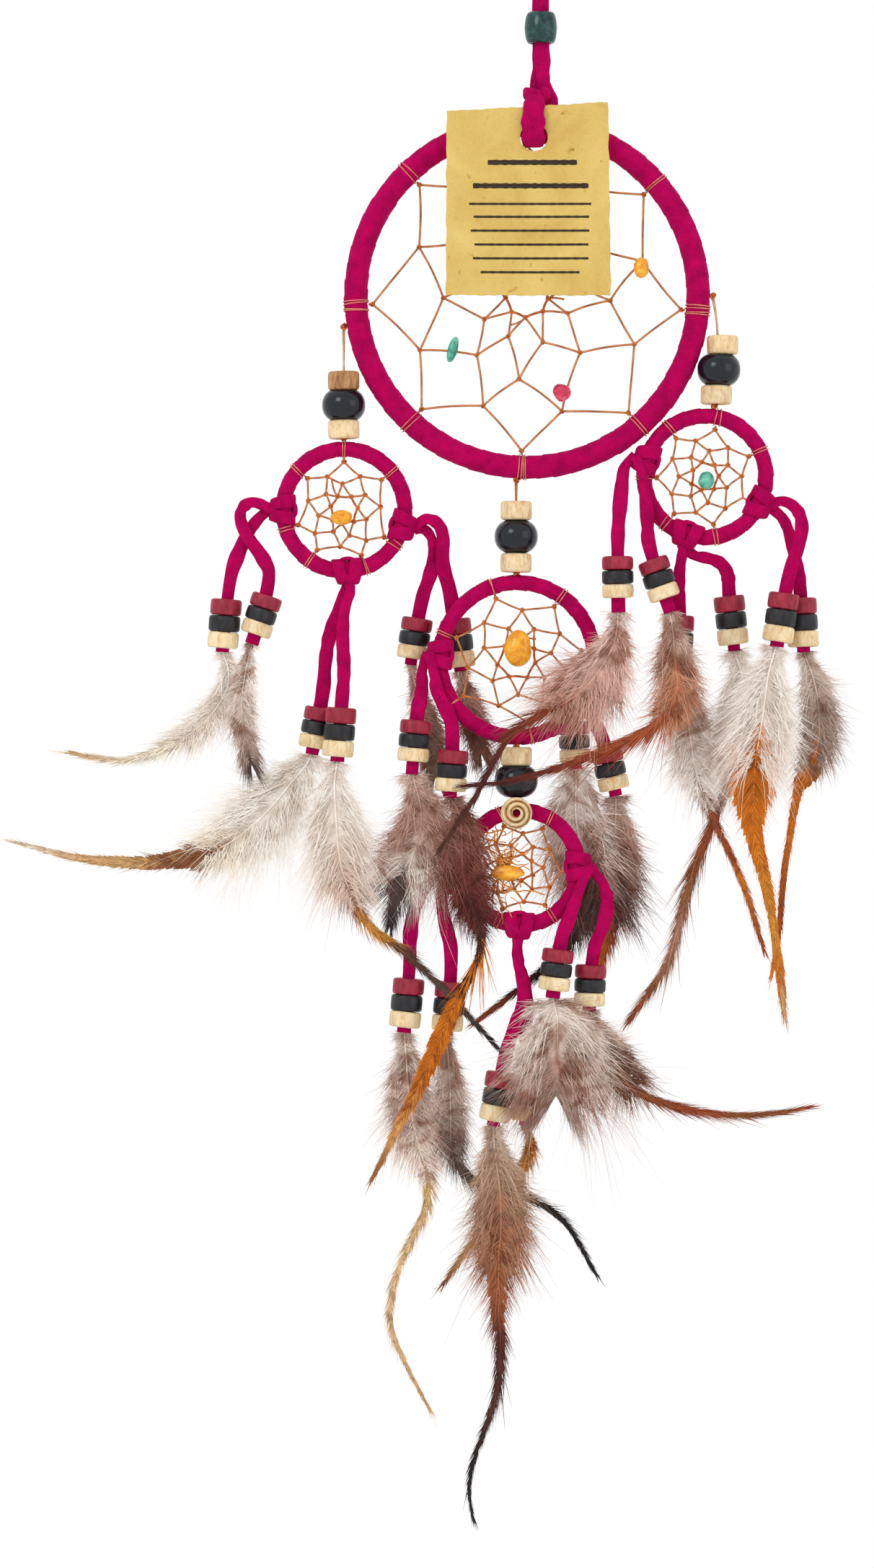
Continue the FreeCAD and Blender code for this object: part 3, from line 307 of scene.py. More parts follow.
class Nodes:
    """A material's node tree, with short calls for what these materials share."""

    def __init__(self, name, **principled):
        self.material = bpy.data.materials.new(name)
        self.material.use_nodes = True
        self.tree = self.material.node_tree
        self.shader = self.tree.nodes["Principled BSDF"]
        for key, value in principled.items():
            self.shader.inputs[key.replace("_", " ")].default_value = value

    def add(self, kind, **values):
        node = self.tree.nodes.new(kind)
        for key, value in values.items():
            if key.startswith("in_"):
                node.inputs[key[3:].replace("_", " ")].default_value = value
            else:
                setattr(node, key, value)
        return node

    def put(self, value, target):
        """Link a socket to an input, or set the input to a colour or a number."""
        if isinstance(value, bpy.types.NodeSocket):
            self.tree.links.new(value, target)
        else:
            target.default_value = linear(value) if isinstance(value, tuple) else value

    def place(self, stretch=(1, 1, 1), uv=False, shift=(0, 0, 0)):
        source = self.add("ShaderNodeUVMap", uv_map="OFBake") if uv else self.add("ShaderNodeTexCoord")
        mapping = self.add("ShaderNodeMapping", in_Scale=stretch, in_Location=shift)
        self.put(source.outputs["UV" if uv else "Object"], mapping.inputs["Vector"])
        return mapping.outputs["Vector"]

    def noise(self, scale, detail=3.0, rough=0.55, distort=0.0, **place):
        node = self.add("ShaderNodeTexNoise", in_Scale=scale, in_Detail=detail, in_Roughness=rough,
                        in_Distortion=distort)
        self.put(self.place(**place), node.inputs["Vector"])
        return node.outputs["Fac"]

    def ramp(self, factor, *stops):
        node = self.add("ShaderNodeValToRGB")
        elements = node.color_ramp.elements
        while len(elements) < len(stops):
            elements.new(0.5)
        for element, (place, color) in zip(elements, stops):
            element.position, element.color = place, linear(color)
        self.put(factor, node.inputs["Fac"])
        return node.outputs["Color"]

    def mix(self, factor, first, second, blend="MIX"):
        node = self.add("ShaderNodeMix", data_type="RGBA", blend_type=blend)
        for socket, value in (("Factor", factor), ("A", first), ("B", second)):
            self.put(value, next(i for i in node.inputs if i.name == socket and i.enabled))
        return next(o for o in node.outputs if o.enabled)

    def math(self, operation, first, second):
        node = self.add("ShaderNodeMath", operation=operation)
        for target, value in zip(node.inputs, (first, second)):
            self.put(value, target)
        return node.outputs[0]

    def color(self, base, *shades):
        """The base colour, darkened by each shade in turn."""
        for shade in shades:
            base = self.mix(1.0, base, shade, "MULTIPLY")
        self.put(base, self.shader.inputs["Base Color"])

    def rough(self, source, low, high):
        node = self.add("ShaderNodeMapRange", in_To_Min=low, in_To_Max=high)
        self.put(source, node.inputs["Value"])
        self.put(node.outputs["Result"], self.shader.inputs["Roughness"])

    def bump(self, height, distance, strength):
        node = self.add("ShaderNodeBump", in_Distance=distance, in_Strength=strength)
        self.put(height, node.inputs["Height"])
        self.put(node.outputs["Normal"], self.shader.inputs["Normal"])


def suede(name):
    """Dyed suede: uneven dye, a short brushed nap and paler rubbed places."""
    m = Nodes(name, Roughness=0.95, Sheen_Weight=0.10, Sheen_Roughness=0.4, Specular_IOR_Level=0.08,
              Sheen_Tint=linear((1.0, 0.25, 0.60)))
    patches, nap = m.noise(230, 3, 0.6), m.noise(2400, 4, 0.7, 0.6)
    m.color(m.ramp(patches, (0.25, (0.62, 0.0, 0.29)), (0.5, (0.73, 0.0, 0.34)), (0.75, (0.80, 0.0, 0.37))),
            m.ramp(nap, (0.32, 0.80), (0.68, 1.0)))
    m.rough(nap, 0.88, 1.0)
    m.bump(m.math("ADD", nap, m.math("MULTIPLY", patches, 0.8)), 0.00018, 0.7)
    return m.material


def waxed_thread(name, low, high):
    """Twisted two-ply thread with a little wax shine, and painted shade darkening the grooves between the
    plies.
    """
    m = Nodes(name, Roughness=0.5, Specular_IOR_Level=0.4)
    wave = m.add("ShaderNodeTexWave", in_Scale=1.0, wave_type="BANDS", bands_direction="DIAGONAL")
    m.put(m.place(uv=True), wave.inputs["Vector"])
    plies = wave.outputs["Fac"]
    # the plies' bands darken the colour in the grooves between the plies: painted shade
    m.color(m.ramp(m.noise(420), (0.3, low), (0.7, high)), m.ramp(plies, (0.0, 0.72), (0.5, 1.0)))
    m.bump(plies, 0.00008, 0.6)
    m.rough(m.noise(30, uv=True), 0.4, 0.65)
    return m.material


def wood(name, dark, mid, light, gloss):
    """Turned wood: grain drawn out along the bead's axis, pores, and a thin finish."""
    m = Nodes(name, Roughness=gloss, Specular_IOR_Level=0.35, Coat_Weight=0.08, Coat_Roughness=0.3)
    rings = m.noise(620, 3, 0.5, 0.8, stretch=(1, 1, 0.35))
    pores = m.noise(3600, 2, 0.7, stretch=(1, 1, 0.25))
    m.color(m.ramp(rings, (0.28, dark), (0.5, mid), (0.74, light)),
            m.ramp(pores, (0.30, (0.84, 0.82, 0.80)), (0.44, 1.0)),
            m.ramp(m.noise(150, 2), (0.3, 0.90), (0.7, 1.0)))
    m.rough(pores, gloss + 0.15, gloss - 0.05)
    m.bump(m.math("ADD", rings, pores), 0.00010, 0.4)
    return m.material


def stone(name, dark, mid, light):
    """A tumbled chip: softly clouded colour under a satin polish."""
    m = Nodes(name, Roughness=0.32, Specular_IOR_Level=0.4, Coat_Weight=0.2, Coat_Roughness=0.15)
    cloud, specks = m.noise(330, 3, 0.5, 0.6), m.noise(2200, 2, 0.6)
    m.color(m.ramp(cloud, (0.3, dark), (0.5, mid), (0.72, light)),
            m.ramp(specks, (0.3, (0.86, 0.84, 0.8)), (0.45, 1.0)))
    m.bump(cloud, 0.0003, 0.4)
    m.rough(specks, 0.38, 0.26)
    return m.material


def lacquer(name, dark, mid, light, scale):
    """Glossy lacquer, mottled under the shine."""
    m = Nodes(name, Roughness=0.18, Specular_IOR_Level=0.32, Coat_Weight=0.15, Coat_Roughness=0.05)
    m.color(m.ramp(m.noise(scale, 4, 0.6, 1.4), (0.3, dark), (0.52, mid), (0.75, light)))
    m.rough(m.noise(1400), 0.10, 0.28)
    m.bump(m.noise(900, 2), 0.00006, 0.35)
    return m.material


def parchment(name):
    """A parchment-coloured card, clouded and foxed, with short paper fibres."""
    m = Nodes(name, Roughness=0.85, Specular_IOR_Level=0.12)
    cloud, fibre, foxing = m.noise(45, 4, 0.6, 0.8), m.noise(1500, 3, 0.7, 2.0), m.noise(260, 2, 0.5)
    m.color(m.ramp(cloud, (0.25, (0.77, 0.63, 0.34)), (0.5, (0.83, 0.71, 0.40)), (0.75, (0.87, 0.76, 0.46))),
            m.ramp(fibre, (0.3, (0.92, 0.90, 0.86)), (0.5, 1.0)),
            m.ramp(foxing, (0.24, (0.78, 0.68, 0.48)), (0.33, 1.0)))
    m.bump(fibre, 0.00006, 0.4)
    m.rough(fibre, 0.75, 0.95)
    return m.material


def plain(name, look, noise, stops, rough=None):
    """One noise for the colour, and for the roughness where its range is given."""
    m = Nodes(name, **look)
    source = m.noise(*noise)
    m.color(m.ramp(source, *stops))
    if rough:
        m.rough(source, *rough)
    return m.material


def plumage(name, stops, seed, ends, even):
    """A feather's colours from quill to tip, mottled, and streaked barb by barb."""
    m = Nodes(name, Roughness=0.7, Specular_IOR_Level=0.15, Sheen_Weight=0.30, Sheen_Roughness=0.5)
    parts = m.add("ShaderNodeSeparateXYZ")
    m.put(m.add("ShaderNodeUVMap", uv_map="OFBake").outputs["UV"], parts.inputs["Vector"])
    along, out = parts.outputs["X"], parts.outputs["Y"]
    streak = m.noise(1.0, 3, 0.7, stretch=(210, 1.2, 1), uv=True, shift=(seed * 3.7, seed * 1.3, 0))
    blots = m.noise(210, 3, 0.6, 0.8)
    shifted = along
    for wander, amount in ((streak, 0.12), (blots, 0.16)):
        shifted = m.math("ADD", shifted, m.math("MULTIPLY", m.math("SUBTRACT", wander, 0.5), amount))
    hollow = (0.93, 0.91, 0.89) if even else (0.84, 0.80, 0.77)
    patch = (0.95, 0.93, 0.91) if even else (0.78, 0.67, 0.62)
    in_down = m.ramp(streak, (0.3, hollow), (0.5, (0.98, 0.97, 0.96)), (0.7, 1.0))
    in_vane = m.ramp(streak, (0.34, (0.56, 0.50, 0.47)), (0.52, (0.96, 0.95, 0.94)), (0.64, 1.0))
    streaky = m.mix(m.math("GREATER_THAN", along, ends + 0.02), in_down, in_vane)
    patchy = m.ramp(m.noise(95, 2, 0.5, 1.5), (0.36, patch), (0.50, 1.0), (0.62, 1.0))
    patchy = m.mix(m.math("LESS_THAN", along, ends), (1.0, 1.0, 1.0), patchy)
    m.color(m.ramp(shifted, *stops), streaky, m.ramp(blots, (0.32, hollow), (0.5, 1.0)), patchy,
            m.ramp(out, (0.0, (0.92, 0.90, 0.88)), (0.3, 1.0), (1.0, 1.0)))
    m.rough(streak, 0.85, 0.55)
    return m.material


# ---------------------------------------------------------------- mesh making

class Soup:
    """Points and faces gathered up for one mesh object."""

    def __init__(self):
        self.points, self.faces, self.uvs, self.slots = [], [], [], []
        self.count = 0

    def add(self, points, faces, uvs, slot=0):
        points = np.asarray(points, float).reshape(-1, 3)
        faces = np.asarray(faces, int)
        self.points.append(points)
        self.faces.append(faces + self.count)
        self.uvs.append(np.asarray(uvs, float).reshape(-1, 2))
        self.slots.append(np.full(len(faces), slot))
        self.count += len(points)

    def grid(self, rows, slot=0, around=False, closed=False, uv_box=(0, 0, 1, 1), uvs=None):
        """Rows of points, all the same length, joined by quads: around closes each row into a
        loop, and closed joins the last row to the first."""
        rows = np.asarray(rows, float)
        if closed:
            rows = np.concatenate([rows, rows[:1]])
        if around:
            rows = np.concatenate([rows, rows[:, :1]], axis=1)
        n, m = rows.shape[:2]
        i, j = np.meshgrid(np.arange(n - 1), np.arange(m - 1), indexing="ij")
        corner = (i * m + j).ravel()
        faces = np.stack([corner, corner + 1, corner + m + 1, corner + m], axis=1)
        if uvs is None:
            u0, v0, u1, v1 = uv_box
            uvs = np.stack(np.meshgrid(np.linspace(u0, u1, n), np.linspace(v0, v1, m), indexing="ij"), axis=2)
        self.add(rows, faces, uvs, slot)

    def object(self, name, materials, smooth=True, merge=1e-6):
        points, faces = np.concatenate(self.points), np.concatenate(self.faces)
        uvs, slots = np.concatenate(self.uvs), np.concatenate(self.slots)
        mesh = bpy.data.meshes.new(name)
        mesh.vertices.add(len(points))
        mesh.vertices.foreach_set("co", points.ravel())
        mesh.loops.add(faces.size)
        mesh.loops.foreach_set("vertex_index", faces.ravel().astype(np.int32))
        mesh.polygons.add(len(faces))
        mesh.polygons.foreach_set("loop_start", np.arange(0, faces.size, faces.shape[1], dtype=np.int32))
        for material in materials:
            mesh.materials.append(material)
        mesh.polygons.foreach_set("material_index", slots.astype(np.int32))
        mesh.polygons.foreach_set("use_smooth", np.full(len(faces), smooth))
        mesh.uv_layers.new(name="OFBake").data.foreach_set("uv", uvs[faces.ravel()].ravel())
        mesh.update(calc_edges=True)
        mesh.validate()
        if merge:
            work = bmesh.new()
            work.from_mesh(mesh)
            bmesh.ops.remove_doubles(work, verts=work.verts, dist=merge)
            work.to_mesh(mesh)
            work.free()
        item = bpy.data.objects.new(name, mesh)
        scene.collection.objects.link(item)
        return item

    def piece(self, name, materials, body, finish, *nodes, **options):
        """An object that rides a body, with the CAD nodes it stands for hidden; its finish is not used."""
        item = self.object(name, materials, **options)
        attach(item, body)
        if nodes:
            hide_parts(*nodes)
        return item


def full_turn(steps):
    """The angles of even steps round a circle."""
    return np.linspace(0, 2 * math.pi, steps, endpoint=False)


def unit(vector):
    return vector / np.linalg.norm(vector)


def steps_of(line):
    return np.linalg.norm(np.diff(line, axis=0), axis=1)


def run_of(line):
    return np.concatenate([[0], np.cumsum(steps_of(line))])


def smooth_line(points, resolution=8):
    """The points of a smooth NURBS line with these control points."""
    curve = bpy.data.curves.new("line", "CURVE")
    curve.dimensions = "3D"
    spline = curve.splines.new("NURBS")
    spline.points.add(len(points) - 1)
    for point, place in zip(spline.points, points):
        point.co = (*place, 1.0)
    spline.order_u = 3
    spline.use_endpoint_u = True
    spline.resolution_u = resolution
    item = bpy.data.objects.new("line", curve)
    scene.collection.objects.link(item)
    bpy.context.view_layer.update()
    mesh = bpy.data.meshes.new_from_object(item)
    line = np.array([vertex.co for vertex in mesh.vertices])
    bpy.data.objects.remove(item)
    bpy.data.curves.remove(curve)
    bpy.data.meshes.remove(mesh)
    return line


def headings(line):
    steps = np.gradient(line, axis=0)
    return steps / np.linalg.norm(steps, axis=1)[:, None]


def tube(soup, line, radius, sides=8, slot=0, uv_box=(0, 0, 1, 1), taper=None):
    """A round tube along a line, closed at both ends."""
    ahead = headings(line)
    side = np.cross(ahead, BACK)
    side[np.linalg.norm(side, axis=1) < 1e-4] = (1, 0, 0)
    side /= np.linalg.norm(side, axis=1)[:, None]
    other = np.cross(side, ahead)
    angles = full_turn(sides)[:, None]
    scale = np.full(len(line), radius) if taper is None else radius * taper
    rows = [p + s * (a * np.cos(angles) + b * np.sin(angles)) for p, a, b, s in zip(line, side, other, scale)]
    soup.grid(rows, slot, around=True, uv_box=uv_box)
    quads = [(1 + k, 1 + (k + 1) % sides, 1 + (k + 2) % sides, 0) for k in range(0, sides - 1, 2)]
    for end in (0, -1):
        soup.add(np.concatenate([[line[end]], rows[end]]), quads,
                 np.tile((uv_box[-2 * end], uv_box[1]), (sides + 1, 1)), slot)


def strap(soup, line, wide, width, thick, rng, crown=0.0, slim=None):
    """A flat lace along a line: a rounded flat section, its width along the wide vectors."""
    ahead = headings(line)
    wide = np.broadcast_to(np.asarray(wide, float), line.shape)
    wide = wide - (wide * ahead).sum(axis=1)[:, None] * ahead
    wide = wide / np.linalg.norm(wide, axis=1)[:, None]
    face = np.cross(ahead, wide)
    section = []
    for angle in full_turn(14):
        c, s = math.cos(angle), math.sin(angle)
        section.append((math.copysign(abs(c) ** 0.55, c), math.copysign(abs(s) ** 0.75, s)))
    section = np.array(section)
    across, deep = section[:, :1], section[:, 1:]
    wobble = np.ones((len(line), 2))
    knots = max(4, len(line) // 3)
    for k, amount in enumerate((0.06, 0.10)):
        wobble[:, k] += np.interp(np.linspace(0, 1, len(line)), np.linspace(0, 1, knots),
                                  rng.normal(0, amount, knots))
    if slim is not None:
        wobble[:, 0] *= slim
        wobble[:, 1] /= slim ** 0.8
    arch = crown * (1 - across ** 2)
    rows = np.array([p + across * (width / 2) * kw * w + (deep * (thick / 2) * kt + arch) * f
                     for p, w, f, (kw, kt) in zip(line, wide, face, wobble)])
    rows = np.concatenate([[rows[0] * 0.35 + line[0] * 0.65], rows, [rows[-1] * 0.35 + line[-1] * 0.65]])
    soup.grid(rows, around=True)
    n = len(section)
    quads = [(k, k + 1, n - 2 - k, n - 1 - k) for k in range(n // 2 - 1)]
    for end in (0, -1):
        soup.add(rows[end], quads, np.tile((-end, 0), (n, 1)))


def revolved(soup, profile, centre, axis, slot, sides, uv_box=(0, 0, 1, 1), spin=None):
    """A closed profile of (radius, height) turned about an axis, a little out of round if it
    has a spin."""
    axis = unit(np.asarray(axis, float))
    side = unit(np.cross(axis, BACK))
    other = np.cross(axis, side)
    rows = []
    for k in range(sides):
        turn = 2 * math.pi * k / sides + (spin or 0)
        out = side * math.cos(turn) + other * math.sin(turn)
        wave = 1 if spin is None else 1 + 0.010 * math.sin(3 * turn + spin)
        rows.append([np.asarray(centre) + out * r * wave + axis * h for r, h in profile])
    soup.grid(rows, slot, around=True, closed=True, uv_box=uv_box)


def disc_profile(radius, hole, height, rim):
    """A drilled disc with rounded rims."""
    half = height / 2
    profile = [(hole, -half + 0.0002), (hole + 0.0002, -half)]
    for first, level in ((-math.pi / 2, -half + rim), (0.0, half - rim)):
        for k in range(4):
            turn = first + (math.pi / 2) * k / 3
            profile.append((radius - rim + rim * math.cos(turn), level + rim * math.sin(turn)))
        if first:
            profile.append((radius + 0.00004, 0.0))
    return profile + [(hole + 0.0002, half), (hole, half - 0.0002)]


def ball_profile(radius, half, hole, steps=20):
    """A drilled round bead, full in the shoulder, with a dished mouth."""
    profile = [(hole, -half + 0.0006), (hole + 0.0002, -half + 0.0001)]
    for k in range(steps + 1):
        turn = (-0.5 + k / steps) * math.pi * 0.90
        wide, tall = math.cos(turn), math.sin(turn)
        profile.append((radius * wide ** 0.80, half * math.copysign(abs(tall) ** 0.92, tall)))
    return profile + [(hole + 0.0002, half - 0.0001), (hole, half - 0.0006)]


# ---------------------------------------------------------------- hoops

def axes_at(degrees):
    """The directions out from a hoop and along it."""
    turn = math.radians(degrees)
    return np.array((math.cos(turn), 0, math.sin(turn))), np.array((-math.sin(turn), 0, math.cos(turn)))


def wound_ring(soup, hoop, rng):
    """Suede lace wound round the hoop, each turn lapping over the one before."""
    turns, sides = hoop.turns, 18
    steps = turns * 10
    bumps = rng.normal(0, 1, (turns + 1, 6))
    rows = []
    for i in range(steps):
        phi = 2 * math.pi * i / steps
        row = []
        for j in range(sides):
            theta = 2 * math.pi * j / sides
            turn = turns * i / steps + j / sides
            phase = turn % 1
            bump = bumps[int(turn) % turns]
            lift = 0.00020 + 0.00004 * bump[0]
            lap = lift * (1 - phase) if phase > 0.12 else lift * (phase / 0.12) ** 0.5
            wobble = 0.00005 * (bump[1] * math.sin(theta) + bump[2] * math.cos(2 * theta))
            radius = hoop.band - 0.00012 + lap + wobble
            out = hoop.ring + radius * math.cos(theta)
            row.append((hoop.centre[0] + out * math.cos(phi), radius * math.sin(theta),
                        hoop.centre[1] + out * math.sin(phi)))
        rows.append(row)
    soup.grid(rows, around=True, closed=True)


def lark_head(soup, hoop, degrees, rng, width):
    """A folded lace's knot: two turns round the hoop, drawn together where the lace leaves."""
    out, along = axes_at(degrees)
    middle = hoop.at(hoop.ring, degrees)
    spread = width * 0.52
    for layer, side in enumerate((-1, 1)):
        line = []
        for theta in np.linspace(-0.35, 2 * math.pi + 0.10, 34):
            opened = abs(math.sin(theta / 2)) ** 0.8
            radius = hoop.band + 0.00080 + 0.00022 * layer + 0.0004 * (1 - opened) ** 2
            radius += 0.00012 * math.sin(3 * theta + side)
            shift = side * (0.0009 + spread * opened * 0.92)
            line.append(middle + radius * (out * math.cos(theta) - BACK * math.sin(theta)) + along * shift)
        strap(soup, np.array(line), along, width, 0.0015, rng, 0.00022)
    core = np.array([middle + along * (spread + 0.0018) * s for s in np.linspace(-1, 1, 15)])
    swell = np.array([1 + 0.26 * (1 - abs(s) ** 3) for s in np.linspace(-1, 1, 15)])
    tube(soup, core, hoop.band * 0.99, 20, taper=swell)
    line = []
    for s in np.linspace(-1, 1, 13):
        lift = (hoop.band + 0.0014) * (1 - 0.35 * abs(s) ** 3)
        line.append(middle + along * spread * 1.3 * s - out * lift - BACK * 0.0006)
    strap(soup, np.array(line), -BACK, width * 0.8, 0.0014, rng, 0.0002)


def winding_piece(name, hoop, body, seed):
    rng = np.random.default_rng(seed)
    soup = Soup()
    wound_ring(soup, hoop, rng)
    for degrees in hoop.knots:
        lark_head(soup, hoop, degrees, rng, MAIN_KNOT if name == "main" else SMALL_KNOT)
    soup.piece(name + "_winding", [SUEDE], body, "suede", name + "_wrap")


def web_nodes(hoop):
    """The web's hitches as (radius, degrees, under a lace knot), and the knots of its rounds."""
    hitch = hoop.band + WEB_THREAD + CLEARANCE
    inside = hoop.ring - hitch - WEB_THREAD - WEB_KNOT - CLEARANCE
    anchors = []
    for degrees in hoop.hitches:
        covered = any(abs((degrees - knot + 180) % 360 - 180) < 10 for knot in hoop.knots)
        anchors.append((inside - (KNOT_SLACK + KNOT_WALL) * covered, degrees, covered))
    rounds, above = [], [(r, d) for r, d, _ in anchors]
    for level, share in enumerate((0.77, 0.52, 0.3, 0.14)[: hoop.rounds]):
        below = []
        for i, (_, degrees) in enumerate(above):
            step = (above[(i + 1) % len(above)][1] - degrees) % 360
            drift = 3 * math.sin(2.3 * i + 1.7 * level)
            uneven = 1 + 0.05 * math.sin(3.1 * i + level)
            below.append((inside * share * uneven, degrees + step / 2 + drift))
        rounds.append((above, below))
        above = below
    return anchors, rounds


def sagged(first, last, sag, depth, steps=7):
    """A thread that is nearly straight: a slight bow in the web and in depth."""
    share = np.linspace(0, 1, steps)[:, None]
    bow = np.sin(share * math.pi)
    across = unit(np.cross(last - first, BACK))
    return first + (last - first) * share + bow * (across * sag + np.array((0, depth, 0)))


def knot(soup, point, size, rng, slot=2):
    """A half hitch: a small irregular loop of thread pulled tight."""
    tilt = rng.uniform(0, math.pi)
    line = []
    for theta in np.linspace(0, 2 * math.pi * 1.35, 15):
        a, b = math.cos(theta) * size, math.sin(theta) * size * 0.75
        line.append(point + np.array((a * math.cos(tilt) - b * math.sin(tilt),
                                      math.cos(theta * 1.5) * size * 0.7,
                                      a * math.sin(tilt) + b * math.cos(tilt))))
    tube(soup, np.array(line), THREAD * 0.9, 6, slot=slot)


def web_piece(name, hoop, body, seed):
    rng = np.random.default_rng(seed)
    soup = Soup()
    thread = THREAD if name == "main" else THREAD * 0.9
    anchors, rounds = web_nodes(hoop)
    for radius, degrees, covered in anchors:
        anchor = hoop.at(radius, degrees)
        if covered:
            tube(soup, sagged(hoop.at(hoop.ring - hoop.band, degrees), anchor, 0, 0), thread, 6)
            continue
        out, along = axes_at(degrees)
        middle = hoop.at(hoop.ring, degrees)
        tied = name == "main" and degrees in STRING_HITCHES
        for shift in ((-1.6, -0.1, 1.3, 2.2) if tied else (-0.7, 0.6)):
            lean = rng.uniform(-0.0008, 0.0008)
            line = [middle + (hoop.band + 0.00022) * (out * math.cos(t) + BACK * math.sin(t))
                    + along * (shift * 0.0007 + lean * math.sin(t / 2))
                    for t in np.linspace(0, 2 * math.pi, 22)]
            tube(soup, np.array(line), LASHING_THREAD, 5, slot=1)
        root = hoop.at(hoop.ring - hoop.band - 0.0002, degrees)
        tube(soup, sagged(root, anchor, 0.0, 0.0, 3), thread, 6)
        knot(soup, anchor, HITCH_SIZE, rng)
    for above, below in rounds:
        for i, place in enumerate(below):
            point = hoop.at(*place)
            knot(soup, point, LOOP_SIZE, rng)
            for near, side in ((above[i], 1), (above[(i + 1) % len(above)], -1)):
                start = hoop.at(*near)
                span = np.linalg.norm(point - start)
                tube(soup, sagged(start, point, side * rng.uniform(0.0, 0.035) * span,
                                  rng.uniform(-0.0003, 0.0003)), thread, 6)
    last = rounds[-1][1]
    for i, place in enumerate(last):
        start, end = hoop.at(*place), hoop.at(*last[(i + 1) % len(last)])
        tube(soup, sagged(start, end, 0.0002, rng.uniform(-0.0004, 0.0)), thread * 1.15, 6, slot=2)
    for i in ((0, 3, 5) if name == "main" else (0,)):
        loose_end(soup, hoop.at(*last[i]), rng)
    threads = [THREAD_ORANGE, THREAD_PINK, THREAD_DEEP]
    if name == "bottom_hoop":
        tangle(soup, hoop, rng)
        threads.append(FIBRE)
    soup.piece(name + "_net", threads, body, "waxed_thread", name + "_web")


def loose_end(soup, point, rng):
    """A cut thread end at the web's middle."""
    heading = unit(rng.normal(0, 1, 3) * (1, 0.25, 1))
    length = rng.uniform(0.004, 0.007)
    curl = np.cross(heading, (0, 1, 0)) * rng.uniform(-0.5, 0.5)
    line = [point + heading * length * t + curl * length * t * t + np.array((0, -0.0008 * t, 0))
            for t in np.linspace(0, 1, 8)]
    tube(soup, np.array(line), THREAD * 0.9, 6)


def tangle(soup, hoop, rng):
    """Orange fibres caught in the left part of the lowest web."""
    for _ in range(64):
        place = hoop.at(0, 0) + np.array((rng.uniform(-0.0125, -0.003), rng.uniform(-0.0022, -0.0007),
                                          rng.uniform(-0.009, 0.0105)))
        heading = rng.uniform(0, 2 * math.pi)
        line = [place]
        for _ in range(rng.integers(6, 12)):
            heading += rng.normal(0, 0.45)
            step = np.array((math.cos(heading), rng.normal(0, 0.25), math.sin(heading))) * 0.0011
            line.append(line[-1] + step)
        line = np.array(line)
        line[:, 1] = np.clip(line[:, 1], -0.0030, -0.0006)
        tube(soup, line, rng.uniform(0.00010, 0.00024), 4, slot=3)


def chips_piece(name, hoop, body, seed):
    """Tumbled stone chips with flat worn facets, each just in front of its web."""
    rng = np.random.default_rng(seed)
    soup = Soup()
    kinds = [chip[-1] for chip in hoop.chips]
    for slot, (x, z, wide, high, kind) in enumerate(hoop.chips):
        deep = 0.75 * min(wide, high)
        middle = np.array((hoop.centre[0] + x, -(WEB_KNOT + CHIP_GAP + deep), hoop.centre[1] + z))
        facets = rng.normal(0, 1, (9, 3))
        facets /= np.linalg.norm(facets, axis=1)[:, None]
        cuts = rng.uniform(*((0.62, 0.85) if kind == "pink" else (0.78, 0.95)), 9)
        lean = {"turquoise": 0.28, "pink": -0.6}.get(kind, 0.1) if name == "main" else 0.0
        c, s = math.cos(lean), math.sin(lean)
        turned = np.array(((c, 0, s), (0, 1, 0), (-s, 0, c)))
        rows = []
        for theta in np.linspace(0.02, math.pi - 0.02, 18):
            row = []
            for phi in full_turn(26):
                level = math.sin(theta)
                ray = np.array((level * math.cos(phi), level * math.sin(phi), math.cos(theta)))
                reach = 1.0
                for normal, cut in zip(facets, cuts):
                    facing = float(ray @ normal)
                    if facing > 0.05:
                        reach = min(reach, cut / facing)
                row.append(middle + turned @ (ray * (reach * 0.5 + 0.5) * np.array((wide, deep, high))))
            rows.append(row)
        soup.grid(rows, slot, around=True, uv_box=(slot / 3, 0, (slot + 1) / 3, 1))
    soup.piece(name + "_chips", [STONES[kind] for kind in kinds], body, "waxed_thread")


# ---------------------------------------------------------------- beaded threads

def string_piece(key, route, beads, seed):
    rng = np.random.default_rng(seed)
    soup = Soup()
    for i, (kind, x, z) in enumerate(beads):
        box = (i / 3, 0, (i + 1) / 3, 1)
        if kind == "ball":
            revolved(soup, ball_profile(*BALL_SIZE), (x, 0, z), (0, 0, 1), 1, 40, box)
        elif kind == "disc":
            lean = (rng.uniform(-0.03, 0.03), 0, 1)
            revolved(soup, disc_profile(BEAD_RADIUS, *STRING_DISC), (x, 0, z), lean,
                     0 if i == 0 and key == "left" else 2, 36, box, rng.uniform(0, 6))
        else:
            spiral_disc(soup, np.array((x, -(SMALL_BAND + SPIRAL_GAP + SPIRAL_HALF), z)), box)
    soup.piece(key + "_string_turned", [TAN_WOOD_AND_GROOVE_SHADE, BALL, DISC], key + "_string", "string_bead",
               key + "_string_beads")
    cords = Soup()
    line = smooth_line(route) if len(route) > 2 else np.linspace(*route, 12)
    turn = np.linspace(0, 5.0, len(line))
    for side in (-1, 1):
        shift = side * TWIST * np.stack([np.cos(turn), np.sin(turn), np.zeros(len(line))], axis=1)
        tube(cords, line + shift, PLY, 6)
    for end in (line[0], line[-1]):
        knot(cords, end + np.array((0, -0.0004, 0)), 0.0008, rng, 1)
        knot(cords, end + np.array((0.0003, -0.0002, 0.0005)), 0.0006, rng, 1)
    threads = [THREAD_ORANGE if key == "middle" else THREAD_PALE, THREAD_DEEP]
    rope = cords.piece(key + "_string_thread", threads, key + "_string", "waxed_thread", key + "_thread")


